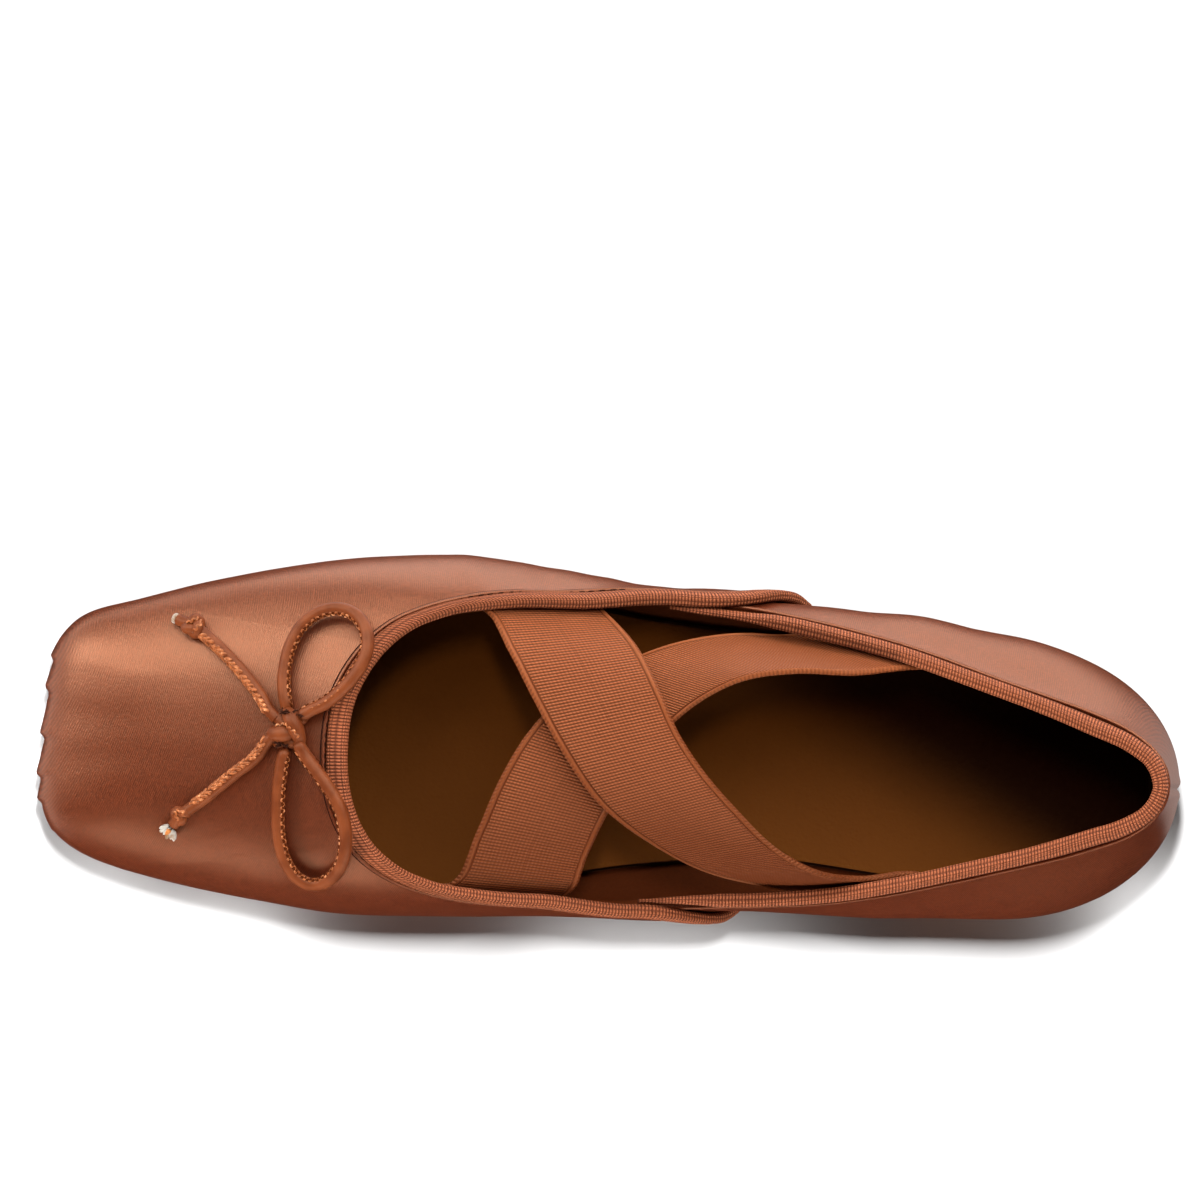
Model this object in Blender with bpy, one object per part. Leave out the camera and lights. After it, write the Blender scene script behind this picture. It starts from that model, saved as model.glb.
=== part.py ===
"""Ballet flat for the right foot: square toe, bound top line, two crossed elastic straps, corded bow.

The shoe stands on the ground plane: +Z is up, the toe points along -X and the outer (lateral) side
is +Y. The origin is on the ground under the middle of the shoe's box. Sizes below are in millimetres,
measured from the last's own centre line, from the middle of the toe to the middle of the heel.
"""

import math
from collections import namedtuple

import bmesh
import bpy
import numpy as np

MM = 0.001  # Blender's unit is the metre
GAP = 0.3  # clearance between neighbouring pieces
WELD = 0.01  # points nearer than this are one point
AXIS_Y = -4.5  # the last's centre line lies this far to the inner side of the box's middle

# -----------------------------------------------------------------------------
# The last: half widths on the inner (medial) and outer (lateral) side, and heights
# -----------------------------------------------------------------------------
Station = namedtuple("Station", "x sole_in sole_out body_in body_out body_z crown_z")
LAST = [
    Station(-125, 18.6, 23.2, 21.8, 28.0, 14.0, 26.5),
    Station(-110, 23.0, 26.4, 26.9, 30.2, 14.5, 29.5),
    Station(-95, 26.5, 30.5, 30.6, 34.4, 15.0, 32.5),
    Station(-75, 30.5, 35.8, 33.9, 39.2, 16.0, 37.5),
    Station(-55, 33.0, 39.3, 36.0, 42.6, 17.0, 44.0),
    Station(-35, 32.2, 40.6, 35.5, 44.0, 18.0, 47.0),
    Station(-15, 29.5, 38.6, 34.5, 42.4, 18.5, 48.0),
    Station(10, 25.0, 34.6, 32.6, 38.4, 19.5, 48.0),
    Station(35, 22.8, 32.6, 31.2, 36.8, 21.5, 48.0),
    Station(60, 25.0, 31.6, 31.5, 35.8, 23.0, 48.0),
    Station(85, 28.0, 29.9, 30.5, 32.2, 25.0, 48.0),
    Station(105, 28.6, 29.2, 30.2, 30.5, 27.0, 48.0),
    Station(125, 28.4, 29.0, 29.6, 30.2, 28.0, 48.0),
]

# How the plan outline closes at each end: where it ends, the length it rounds off over, how square it is.
End = namedtuple("End", "x length power")
SOLE_TOE, SOLE_HEEL = End(-118.6, 28.0, 4.2), End(122.8, 40.0, 2.2)
BODY_TOE, BODY_HEEL = End(-124.0, 28.0, 5.0), End(125.5, 40.0, 2.05)
TOE_SLANT = 0.045  # the toe's front edge runs forward towards the big toe by this much of its width
SLANT_REACH = 60.0  # and the slant dies away over this length

# -----------------------------------------------------------------------------
# The sole unit
# -----------------------------------------------------------------------------
OUTSOLE_THICK = 3.2
BALL_BACK = -20.0  # the forefoot's flat spot ends here, and the arch begins
BALL_FRONT = -75.0  # the forefoot's flat spot begins here, and the toe spring goes forward from it
TOE_SPRING = 0.0024  # rise per square millimetre of distance in front of the flat spot
HEEL_HEIGHT = 9.0
BREAST_X = 63.0  # the heel's front face
HEEL_TAPER = 1.6  # the heel's ground face is this much smaller all round
BREAST_HOLLOW = 3.0  # and its front face is hollowed by this much
HEEL_INSET = 0.6  # the heel stands this far inside the outsole's edge
HEEL_STEPS, BREAST_STEPS = 12, 5
FEATHER_INSET = 1.0  # the outsole stands this much proud of the upper's lower edge
INSOLE_THICK = 2.5

# -----------------------------------------------------------------------------
# The upper
# -----------------------------------------------------------------------------
WALL = 1.8  # satin, interlining and lining together
LAP = 2.0  # how far the vamp stands out over the quarter at its rear edge
LAP_FADE = 36.0  # and over what length in front of that edge it sinks back
BINDING_WIDTH = 4.6
BINDING_THICK = 2.7
DOME_POWER = 2.6  # how full the vamp's arch is
UNDERCUT = 2.6  # how full the wall is between the sole and its widest line
UPRIGHT = 0.65  # above 0, the side walls stand more upright under the top line

# The finished top line: a row for each section, with its inner side and its outer side.
Rim = namedtuple("Rim", "x y_in y_out z")
THROAT = (-57.6, 1.0, 44.0)
BACK = (122.4, 0.2, 60.8)
RIM = [
    Rim(-56.3, -10.2, 11.6, 43.7),
    Rim(-53.8, -16.4, 17.2, 43.1),
    Rim(-50.0, -21.6, 22.8, 42.3),
    Rim(-44.0, -26.2, 28.2, 41.0),
    Rim(-36.0, -29.4, 31.8, 39.4),
    Rim(-24.0, -31.2, 34.2, 37.2),
    Rim(-8.0, -31.5, 35.2, 34.4),
    Rim(12.0, -30.7, 35.4, 31.6),
    Rim(22.0, -30.0, 34.8, 32.0),
    Rim(36.0, -29.0, 32.8, 34.2),
    Rim(50.0, -27.2, 30.0, 37.8),
    Rim(64.0, -24.2, 26.7, 42.2),
    Rim(78.0, -20.4, 22.4, 47.0),
    Rim(92.0, -16.4, 17.9, 51.8),
    Rim(106.0, -12.4, 13.6, 56.2),
    Rim(115.0, -9.2, 10.2, 58.9),
    Rim(120.2, -5.4, 6.4, 60.3),
]

# Lines drawn up the wall: where each leaves the sole, crosses the widest line and reaches the top line.
WallLine = namedtuple("WallLine", "sole_x body_x rim_x")
WALL_LINES = [
    WallLine(-92, -95, -44),
    WallLine(-50, -51, -24),
    WallLine(-20, -20, -8),
    WallLine(10, 10, 12),
    WallLine(36, 36, 36),
    WallLine(64, 64, 64),
    WallLine(92, 93, 92),
]
FIELD_FROM, FIELD_TO = -78.0, -10.0  # between these the vamp's dome turns into the side wall, at the sole


def smooth(at, xs, ys):
    """A smooth curve through a short table, with no overshoot between its rows."""
    xs, ys, at = np.asarray(xs, float), np.asarray(ys, float), np.asarray(at, float)
    step, slope = np.diff(xs), np.diff(ys) / np.diff(xs)
    tangent = np.concatenate([[slope[0]], np.zeros(len(xs) - 2), [slope[-1]]])
    for i in range(1, len(xs) - 1):
        if slope[i - 1] * slope[i] > 0:
            before, after = 2 * step[i] + step[i - 1], step[i] + 2 * step[i - 1]
            tangent[i] = (before + after) / (before / slope[i - 1] + after / slope[i])
    i = np.clip(np.searchsorted(xs, at) - 1, 0, len(step) - 1)
    t = (np.clip(at, xs[0], xs[-1]) - xs[i]) / step[i]
    return (
        ys[i] * (1 + 2 * t) * (1 - t) ** 2
        + ys[i + 1] * t**2 * (3 - 2 * t)
        + step[i] * (tangent[i] * t * (1 - t) ** 2 - tangent[i + 1] * t**2 * (1 - t))
    )


def ease(t):
    """0 below 0, 1 above 1, and an S-curve between."""
    t = np.clip(t, 0.0, 1.0)
    return t * t * (3 - 2 * t)


def last(column, x):
    return smooth(x, [s.x for s in LAST], [getattr(s, column) for s in LAST])


def sole_bottom(x):
    """Height of the outsole's lower face: toe spring, flat forefoot, arch and heel seat."""
    spring = TOE_SPRING * np.maximum(0.0, BALL_FRONT - x) ** 2
    return spring + HEEL_HEIGHT * ease((x - BALL_BACK) / (BREAST_X - 1.0 - BALL_BACK))


def along(points):
    """Distance along a line of points, starting at 0."""
    return np.concatenate([[0.0], np.cumsum(np.linalg.norm(np.diff(points, axis=0), axis=1))])


def at_shares(points, shares):
    """The points at these shares, from 0 to 1, of a line's length."""
    run = along(points)
    shares = np.asarray(shares, float) * run[-1]
    return np.stack([np.interp(shares, run, points[:, k]) for k in range(points.shape[1])], axis=-1)


def share_at_x(points, x):
    """How far along a half outline, as a share of its length, its x is reached."""
    return np.interp(x, points[:, 0], along(points) / along(points)[-1])


def half_outline(name, side, toe, heel):
    """One side of a plan outline, from the middle of the toe to that of the heel. The inner side is -1."""
    turn = np.linspace(0.0, math.pi, 900)
    x = (toe.x + heel.x) / 2 - (heel.x - toe.x) / 2 * np.cos(turn)
    front = np.clip((toe.x + toe.length - x) / toe.length, 0.0, 1.0)
    back = np.clip((x - heel.x + heel.length) / heel.length, 0.0, 1.0)
    width = last(name + ("_in" if side < 0 else "_out"), x)
    closing = (1 - front**toe.power) ** (1 / toe.power) * (1 - back**heel.power) ** (1 / heel.power)
    y = side * width * closing
    return slanted(np.stack([x, y], axis=1))


def slant(x, y):
    """How far back the toe's slant moves a point of the plan."""
    return TOE_SLANT * y * ease((BODY_TOE.x + SLANT_REACH - x) / SLANT_REACH)


def slanted(points):
    points = np.array(points, float)
    points[:, 0] += slant(points[:, 0], points[:, 1])
    return points


def inset(points, by):
    """A plan line moved inwards, towards the axis, by a distance."""
    tangent = np.gradient(points, axis=0)
    tangent /= np.linalg.norm(tangent, axis=1)[:, None]
    side = 1.0 if points[len(points) // 2, 1] > 0 else -1.0
    moved = points + by * side * np.stack([tangent[:, 1], -tangent[:, 0]], axis=1)
    keep = moved[:, 1] * side > 0
    return np.concatenate([[[points[0, 0] + by, 0.0]], moved[keep], [[points[-1, 0] - by, 0.0]]])


def spline(points, count, closed=False):
    """A curve through points chosen by hand: cubic pieces whose tangents follow the neighbours."""
    points = np.asarray(points, float)
    if closed:
        points = np.concatenate([points[-2:], points, points[:3]])
    else:
        points = np.concatenate([[2 * points[0] - points[1]], points, [2 * points[-1] - points[-2]]])
    run = along(points)
    tangent = np.gradient(points, run, axis=0)
    first, end = (2, len(points) - 3) if closed else (1, len(points) - 2)
    at = np.linspace(run[first], run[end], count)
    i = np.clip(np.searchsorted(run, at, side="right") - 1, first, end - 1)
    step = (run[i + 1] - run[i])[:, None]
    t = (at - run[i])[:, None] / step
    return (
        points[i] * (1 + 2 * t) * (1 - t) ** 2
        + points[i + 1] * t**2 * (3 - 2 * t)
        + step * (tangent[i] * t * (1 - t) ** 2 - tangent[i + 1] * t**2 * (1 - t))
    )


def rim_halves():
    """The top line's two halves in space, each from the throat to the back of the heel: {side: points}."""
    ring = (
        [THROAT]
        + [(r.x, r.y_out, r.z) for r in RIM]
        + [BACK]
        + [(r.x, r.y_in, r.z) for r in reversed(RIM)]
    )
    dense = spline(ring, 2400, closed=True)
    back = int(np.argmax(dense[:, 0]))
    return {1: dense[: back + 1], -1: np.concatenate([dense[back:], dense[:1]])[::-1]}


SOLE = {side: half_outline("sole", side, SOLE_TOE, SOLE_HEEL) for side in (-1, 1)}
FEATHER = {side: inset(SOLE[side], FEATHER_INSET) for side in (-1, 1)}
BODY = {side: half_outline("body", side, BODY_TOE, BODY_HEEL) for side in (-1, 1)}
RIM_LINE = rim_halves()
MATCH = {
    side: np.array(
        [(0.0, 0.0, 0.0)]
        + [
            (
                share_at_x(FEATHER[side], line.sole_x),
                share_at_x(BODY[side], line.body_x),
                share_at_x(RIM_LINE[side], line.rim_x),
            )
            for line in WALL_LINES
        ]
        + [(1.0, 1.0, 1.0)]
    )
    for side in (-1, 1)
}


def dome(x, y):
    """Height of the vamp's arch over a point of the plan, from the toe's square edge to the crown."""
    square = x  # where the point lay before the slant
    for _ in range(6):
        square = x - slant(square, y)
    x = square
    half = np.where(y < 0, last("body_in", x), last("body_out", x))
    across = np.abs(y) / half
    ahead = np.clip((BODY_TOE.x + BODY_TOE.length - x) / BODY_TOE.length, 0.0, 1.0)
    out = np.minimum(1.0, (across**BODY_TOE.power + ahead**BODY_TOE.power) ** (1 / BODY_TOE.power))
    low = last("body_z", x)
    return low + (last("crown_z", x) - low) * (1 - out**DOME_POWER) ** (1 / DOME_POWER)


def wall_line(w, count=90):
    """A line up the outer face of the wall, feather edge to top line. w runs from 0 at the toe to 1 at
    the heel on the outer side, and to -1 on the inner side."""
    side, u = (1 if w >= 0 else -1), min(1.0, abs(w))
    match = MATCH[side]
    foot = at_shares(FEATHER[side], u)
    wide = at_shares(BODY[side], smooth(u, match[:, 0], match[:, 1]))
    top = at_shares(RIM_LINE[side], smooth(u, match[:, 0], match[:, 2]))
    foot_z = sole_bottom(foot[0]) + OUTSOLE_THICK + GAP
    wide_z = float(last("body_z", wide[0]))
    up = np.linspace(0.0, 1.0, count // 3)[:-1, None]
    lower_plan = foot + (wide - foot) * (1 - (1 - up) ** UNDERCUT)
    lower = np.hstack([lower_plan, foot_z + (wide_z - foot_z) * up])
    turn = np.linspace(0.0, 1.0, count)
    side_share = ease((foot[0] - FIELD_FROM) / (FIELD_TO - FIELD_FROM))
    inwards = turn**2 * (1 + side_share * UPRIGHT * (2 - 2 * turn))
    plan = wide + (top[:2] - wide) * inwards[:, None]
    height = dome(plan[:, 0], plan[:, 1])
    height = (height - height[0]) / (height[-1] - height[0])
    rise = (1 - side_share) * height + side_share * turn
    return np.concatenate([lower, np.column_stack([plan, wide_z + (top[2] - wide_z) * rise])])


def on_wall(w, from_top=None, share=None):
    """(point, outward normal) of the wall's outer face, at a distance down from the top line or at a
    share of its height from the feather edge."""
    step, rise = 0.002, 0.01
    lines = [wall_line(v) for v in (w - step, w, w + step)]
    runs = [along(line) for line in lines]
    if share is None:
        share = 1.0 - from_top / runs[1][-1]
    share = float(np.clip(share, 0.0, 1.0))
    before, here, after = (at_shares(line, share) for line in lines)
    low = at_shares(lines[1], max(0.0, share - rise))
    high = at_shares(lines[1], min(1.0, share + rise))
    normal = np.cross(high - low, after - before)
    return here, normal / np.linalg.norm(normal)


# -----------------------------------------------------------------------------
# The vamp's rear edge: from the crossing in the top line, down and back over the quarter to the sole
# -----------------------------------------------------------------------------
Lap = namedtuple("Lap", "rim_x foot_x")
LAPS = {-1: Lap(8.5, 36.0), 1: Lap(17.0, 46.0)}


def lap_edge(side, t):
    """(u, share of the wall's height) along the vamp's finished rear edge. It leaves the top line at
    t = 0 in the top line's own direction, steepens like a parabola, and reaches the sole at t = 1."""
    rim, foot = LAPS[side]
    match = MATCH[side]
    top_u = float(smooth(share_at_x(RIM_LINE[side], rim), match[:, 2], match[:, 0]))
    foot_u = share_at_x(FEATHER[side], foot)
    return top_u + (foot_u - top_u) * t, 1 - t * t


def layer_edge(side, t):
    """(u, share) where the vamp's own layer ends under the binding, beside the finished edge at t."""
    step = 0.01
    u, share = lap_edge(side, t)

    def at(u, share):
        return on_wall(side * u, share=share)[0]

    normal = on_wall(side * u, share=share)[1]
    before, after = (lap_edge(side, v) for v in (max(0.0, t - step), min(1.0, t + step)))
    forward = side * np.cross(normal, at(*after) - at(*before))
    forward *= (BINDING_WIDTH + GAP) / np.linalg.norm(forward)
    by_u = (at(u + step, share) - at(u - step, share)) / (2 * step)
    high, low = min(1.0, share + step), max(0.0, share - step)
    by_share = (at(u, high) - at(u, low)) / (high - low)
    move = np.linalg.lstsq(np.column_stack([by_u, by_share]), forward, rcond=None)[0]
    return u + move[0], max(0.0, share + move[1])


def new_object(name, mesh, colour, roughness=0.6):
    """Links a mesh or curve to the scene under its plain name, with its own material."""
    material = bpy.data.materials.new(name)
    material.use_nodes = True
    shader = material.node_tree.nodes["Principled BSDF"]
    shader.inputs["Base Color"].default_value = (*colour, 1.0)
    shader.inputs["Roughness"].default_value = roughness
    mesh.materials.append(material)
    made = bpy.data.objects.new(name, mesh)
    bpy.context.scene.collection.objects.link(made)
    return made


def placed(points):
    """Millimetres from the last's centre line to the shoe's frame, in metres."""
    return [(x * MM, (y + AXIS_Y) * MM, z * MM) for x, y, z in np.asarray(points, float).reshape(-1, 3)]


def solid(name, points, faces, colour, roughness=0.6):
    """A closed mesh from points in millimetres, its coincident points welded, its faces turned outwards."""
    mesh = bpy.data.meshes.new(name)
    mesh.from_pydata(placed(points), [], faces)
    work = bmesh.new()
    work.from_mesh(mesh)
    bmesh.ops.remove_doubles(work, verts=work.verts, dist=WELD * MM)
    bmesh.ops.recalc_face_normals(work, faces=work.faces)
    work.to_mesh(mesh)
    work.free()
    mesh.shade_smooth()
    mesh.set_sharp_from_angle(angle=math.radians(40))
    return new_object(name, mesh, colour, roughness)


def loft(name, sections, colour, roughness=0.6, closed=False):
    """Skins a row of equal closed sections, with flat ends unless the row itself closes."""
    rows, size = len(sections), len(sections[0])
    faces = []
    for i in range(rows if closed else rows - 1):
        j = (i + 1) % rows
        for k in range(size):
            m = (k + 1) % size
            faces.append((i * size + k, i * size + m, j * size + m, j * size + k))
    if not closed:
        faces.append(tuple(range(size)))
        faces.append(tuple((rows - 1) * size + k for k in reversed(range(size))))
    return solid(name, np.concatenate(sections), faces, colour, roughness)


# -----------------------------------------------------------------------------
# Upper: one shell, open at the top line and underneath, the vamp's layer lapped over the quarter each side
# -----------------------------------------------------------------------------
SATIN = (0.35, 0.13, 0.06)
VAMP_COLUMNS = 28  # on each side of the toe's middle
QUARTER_COLUMNS = 18  # on each side of the heel's middle
FRONT_COLUMNS = 3  # of those, the ones before the toe's corner
TOE_CORNER = (0.08, 0.22)  # shares of the vamp's length between which its columns crowd together
CROWDED_COLUMNS = 10
LOWER_ROWS = 5
UPPER_ROWS = 9
ROW_CROWDING = 0.75  # above 0, the rows on the vamp crowd towards the toe's rounding
CROWDING_ENDS, CROWDING_FADE = 0.15, 0.3  # up to here along the wall, fading over this much of it


def wall_shares(w):
    """Shares of the wall's height for the upper's rows, with the last one under the binding."""
    run = along(wall_line(w))
    widest, end = run[len(run) // 4] / run[-1], 1.0 - (BINDING_WIDTH + GAP) / run[-1]
    crowd = 1.0 + ROW_CROWDING * (1 - ease((abs(w) - CROWDING_ENDS) / CROWDING_FADE))
    lower = np.linspace(0.0, widest, LOWER_ROWS)
    upper = widest + (end - widest) * np.linspace(0.0, 1.0, UPPER_ROWS + 1)[1:] ** crowd
    return np.concatenate([lower, upper])


def lap_height(side, ahead):
    """How far the vamp's outer face stands out, this much u in front of its rear edge."""
    return LAP * ease(1 - ahead * along(FEATHER[side])[-1] / LAP_FADE)


def upper_columns():
    """(side, is vamp, position 0 to 1 within its layer) of each column, once round from the inner lap."""
    rest = VAMP_COLUMNS - FRONT_COLUMNS - CROWDED_COLUMNS
    places = [
        *np.linspace(0.0, TOE_CORNER[0], FRONT_COLUMNS + 1)[:-1],
        *np.linspace(*TOE_CORNER, CROWDED_COLUMNS + 1)[:-1],
        *np.linspace(TOE_CORNER[1], 1.0, rest + 1),
    ]
    vamp = [(-1, True, place) for place in places[:0:-1]] + [(1, True, place) for place in places]
    quarter = [(1, False, i / QUARTER_COLUMNS) for i in range(QUARTER_COLUMNS)]
    quarter += [(-1, False, 1 - i / QUARTER_COLUMNS) for i in range(QUARTER_COLUMNS + 1)]
    return vamp + quarter


def upright_shares(side, us):
    """The share of the wall's height of each row, where the rows are at these us."""
    return np.array([wall_shares(side * u)[k] for k, u in enumerate(us)])


def layer_rows(side):
    """(u, share) of the rows up the vamp's rear column, which is also the quarter's first."""
    upright = wall_shares(side * layer_edge(side, 0.5)[0])
    rows = [layer_edge(side, math.sqrt(1 - share / upright[-1])) for share in upright]
    rows[0] = (rows[0][0], 0.0)
    return np.array(rows)


def make_upper():
    outer, inner = [], []
    edges = {side: layer_rows(side) for side in (-1, 1)}
    leans = {side: edge[:, 1] - upright_shares(side, edge[:, 0]) for side, edge in edges.items()}
    for side, vamp, position in upper_columns():
        edge = edges[side]
        us = edge[:, 0] * position if vamp else edge[:, 0] + (1 - edge[:, 0]) * position
        shares = upright_shares(side, us) + leans[side] * ease(position if vamp else 1 - position)
        for k, (u, share) in enumerate(zip(us, shares)):
            point, normal = on_wall(side * u, share=share)
            if k == 0:
                normal = np.array([normal[0], normal[1], 0.0]) / np.linalg.norm(normal[:2])
            stand = lap_height(side, edge[k, 0] - u) if vamp else 0.0
            outer.append(point + stand * normal)
            inner.append(point - WALL * normal)
    rows = LOWER_ROWS + UPPER_ROWS
    columns = len(outer) // rows
    faces = []
    for i in range(columns):
        j = (i + 1) % columns
        for k in range(rows - 1):
            a, b, c, d = i * rows + k, j * rows + k, j * rows + k + 1, i * rows + k + 1
            shift = columns * rows
            faces.append((a, b, c, d))
            faces.append((d + shift, c + shift, b + shift, a + shift))
        for k in (0, rows - 1):
            a, b = i * rows + k, j * rows + k
            faces.append((a, b, b + columns * rows, a + columns * rows))
    return solid("upper", outer + inner, faces, SATIN, 0.45)


# -----------------------------------------------------------------------------
# Bindings: ribbed tape folded over the top line, one length for the vamp and one for the quarters
# -----------------------------------------------------------------------------
TAPE = (0.36, 0.12, 0.05)
VAMP_TAPE_STEPS = 30  # on each side of the throat
LAP_TAPE_STEPS = 10
QUARTER_TAPE_STEPS = 26
LAP_TAPE_THICK = 2.2  # flatter where it runs down over the quarter
TAPE_SETTLE = 0.5  # by this far down the vamp's rear edge, it lies flat on the quarter
TAPE_END = 0.9  # how far down that edge the tape goes before it stops, just above the sole
PINCH_FLAT = 8.0  # the quarters' tape lies flat under the vamp's for this length
PINCH = 9.0  # then fills out over this one
PINCHED_THICK = 1.3
TAPE_SOFTNESS = 0.3  # the corners' size, as a share of the thickness


def tape_section(edge, inner_edge, normal, thick, middle):
    """A rounded flat section from the finished edge to the tape's lower edge, its middle this far out."""
    down = inner_edge - edge
    width = np.linalg.norm(down)
    down = down / width
    half, soft = thick / 2, TAPE_SOFTNESS * thick
    corners = [
        (0.0, -half + soft), (0.0, half - soft), (soft, half), (width - soft, half),
        (width, half - soft), (width, -half + soft), (width - soft, -half), (soft, -half),
    ]
    return np.array([edge + a * down + (middle + b) * normal for a, b in corners])


def rim_section(side, u, thick, middle):
    edge, normal = on_wall(side * u, from_top=0.0)
    lower, lower_normal = on_wall(side * u, from_top=BINDING_WIDTH)
    normal = normal + lower_normal
    return tape_section(edge, lower, normal / np.linalg.norm(normal), thick, middle)


def lap_section(side, t):
    """The vamp's tape where it runs down the rear edge, lying on the quarter's outer face."""
    u, share = lap_edge(side, t)
    edge, normal = on_wall(side * u, share=share)
    layer_u, layer_share = layer_edge(side, t)
    lower, lower_normal = on_wall(side * layer_u, share=layer_share)
    lower = lower + (edge - lower) * GAP / np.linalg.norm(edge - lower)
    normal = (normal + lower_normal) / np.linalg.norm(normal + lower_normal)
    settled = ease(t / TAPE_SETTLE)
    thick = BINDING_THICK + (LAP_TAPE_THICK - BINDING_THICK) * settled
    start, end = vamp_tape_middle(side, 1.0), 2 * GAP + thick / 2
    return tape_section(edge, lower, normal, thick, start + (end - start) * settled)


def vamp_tape_middle(side, position):
    return lap_height(side, lap_edge(side, 0.0)[0] * (1 - position)) - WALL / 2


def make_vamp_binding():
    sections = []
    for side in (-1, 1):
        top = lap_edge(side, 0.0)[0]
        down = [lap_section(side, t) for t in np.linspace(TAPE_END, 0.0, LAP_TAPE_STEPS + 1)[:-1]]
        forward = [
            rim_section(side, top * position, BINDING_THICK, vamp_tape_middle(side, position))
            for position in np.linspace(1.0, 0.0, VAMP_TAPE_STEPS + 1)[: None if side < 0 else -1]
        ]
        run = down + forward
        sections += run if side < 0 else run[::-1]
    return loft("vamp_binding", sections, TAPE, 0.8)


def make_quarter_binding():
    sections = []
    for side in (1, -1):
        top = lap_edge(side, 0.0)[0]
        length = along(RIM_LINE[side])[-1]
        run = []
        for position in np.linspace(0.0, 1.0, QUARTER_TAPE_STEPS + 1)[: None if side > 0 else -1]:
            u = top + (1 - top) * position
            free = ease((position * (1 - top) * length - PINCH_FLAT) / PINCH)
            thick = PINCHED_THICK + (BINDING_THICK - PINCHED_THICK) * free
            pinched_middle = vamp_tape_middle(side, 1.0) - (BINDING_THICK + PINCHED_THICK) / 2 - GAP
            middle = pinched_middle + (-WALL / 2 - pinched_middle) * free
            run.append(rim_section(side, u, thick, middle))
        sections += run if side > 0 else run[::-1]
    return loft("quarter_binding", sections, TAPE, 0.8)


# -----------------------------------------------------------------------------
# Sole unit: outsole, heel and insole, plates that follow the outline and the last's bottom
# -----------------------------------------------------------------------------
RUBBER = (0.12, 0.05, 0.03)
SOCK = (0.22, 0.10, 0.03)
PLATE_STEPS = 34


def plate(name, halves, low, high, colour, round_off):
    """A plate between two heights that follow the sole, inside an outline given as its two halves."""
    shares = (1 - np.cos(np.linspace(0.0, math.pi, PLATE_STEPS + 1))) / 2
    shares = 0.5 * shares + 0.5 * np.linspace(0.0, 1.0, PLATE_STEPS + 1)
    sides = {side: at_shares(halves[side], shares) for side in (-1, 1)}
    ring = np.concatenate([sides[1], sides[-1][-2:0:-1]])
    count = len(ring)
    lower = np.column_stack([ring, low(ring[:, 0])])
    upper = np.column_stack([ring, high(ring[:, 0])])
    faces = [(i, (i + 1) % count, (i + 1) % count + count, i + count) for i in range(count)]
    for i in range(PLATE_STEPS):
        a, b = i, i + 1
        c, d = (count - i - 1) % count, (count - i) % count
        quad = [a, b, c, d] if i else [a, b, c]
        if i == PLATE_STEPS - 1:
            quad = [a, b, d]
        faces.append(tuple(reversed(quad)))
        faces.append(tuple(n + count for n in quad))
    made = solid(name, np.concatenate([lower, upper]), faces, colour)
    bevel = made.modifiers.new("rounded edge", "BEVEL")
    bevel.width, bevel.segments, bevel.limit_method = round_off * MM, 1, "ANGLE"
    bevel.angle_limit = math.radians(50)
    return made


def make_outsole():
    return plate(
        "outsole", SOLE, sole_bottom, lambda x: sole_bottom(x) + OUTSOLE_THICK, RUBBER, round_off=0.7
    )


def make_insole():
    halves = {side: inset(FEATHER[side], WALL + 2 * GAP) for side in (-1, 1)}
    low = OUTSOLE_THICK + GAP
    return plate(
        "insole",
        halves,
        lambda x: sole_bottom(x) + low,
        lambda x: sole_bottom(x) + low + INSOLE_THICK,
        SOCK,
        round_off=0.8,
    )


def make_heel():
    """A low block under the heel seat: its ground face is tapered in, and its front face is hollowed."""
    rings = []
    for by, z in ((HEEL_INSET + HEEL_TAPER, 0.0), (HEEL_INSET, HEEL_HEIGHT - GAP)):
        halves = []
        for side in (1, -1):
            line = inset(SOLE[side], by)
            start = share_at_x(line, BREAST_X + by)
            halves.append(at_shares(line, start + (1 - start) * np.linspace(0.0, 1.0, HEEL_STEPS + 1)))
        ring = np.concatenate([halves[0], halves[1][-2::-1]])
        front, rear = ring[-1], ring[0]
        for share in np.linspace(0.0, 1.0, BREAST_STEPS + 1)[1:-1]:
            hollow = np.array([BREAST_HOLLOW * math.sin(math.pi * share), 0.0])
            ring = np.concatenate([ring, [front + (rear - front) * share + hollow]])
        rings.append(np.column_stack([ring, np.full(len(ring), z)]))
    return loft("heel", rings, RUBBER)


# -----------------------------------------------------------------------------
# Straps: two wide elastics, each stitched inside the vamp on one side and inside the quarter on the other
# -----------------------------------------------------------------------------
ELASTIC = (0.42, 0.16, 0.07)
STRAP_THICK = 1.0
STRAP_STEPS = 32
STRAP_CLEAR = 0.5  # between a strap's end and what it lies on

# Each strap's two edges in space, a row for each place along it. Its ends lie inside the wall.
StrapRow = namedtuple("StrapRow", "toe_edge heel_edge")


def inside_wall(side, rim_x, down):
    """A point on a strap's middle layer, lying inside the wall this far below the top line."""
    match = MATCH[side]
    u = float(smooth(share_at_x(RIM_LINE[side], rim_x), match[:, 2], match[:, 0]))
    point, normal = on_wall(side * u, from_top=down)
    inner_face = WALL if down > BINDING_WIDTH + 1 else (WALL + BINDING_THICK) / 2
    return tuple(point - (inner_face + STRAP_CLEAR + STRAP_THICK / 2) * normal)


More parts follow.
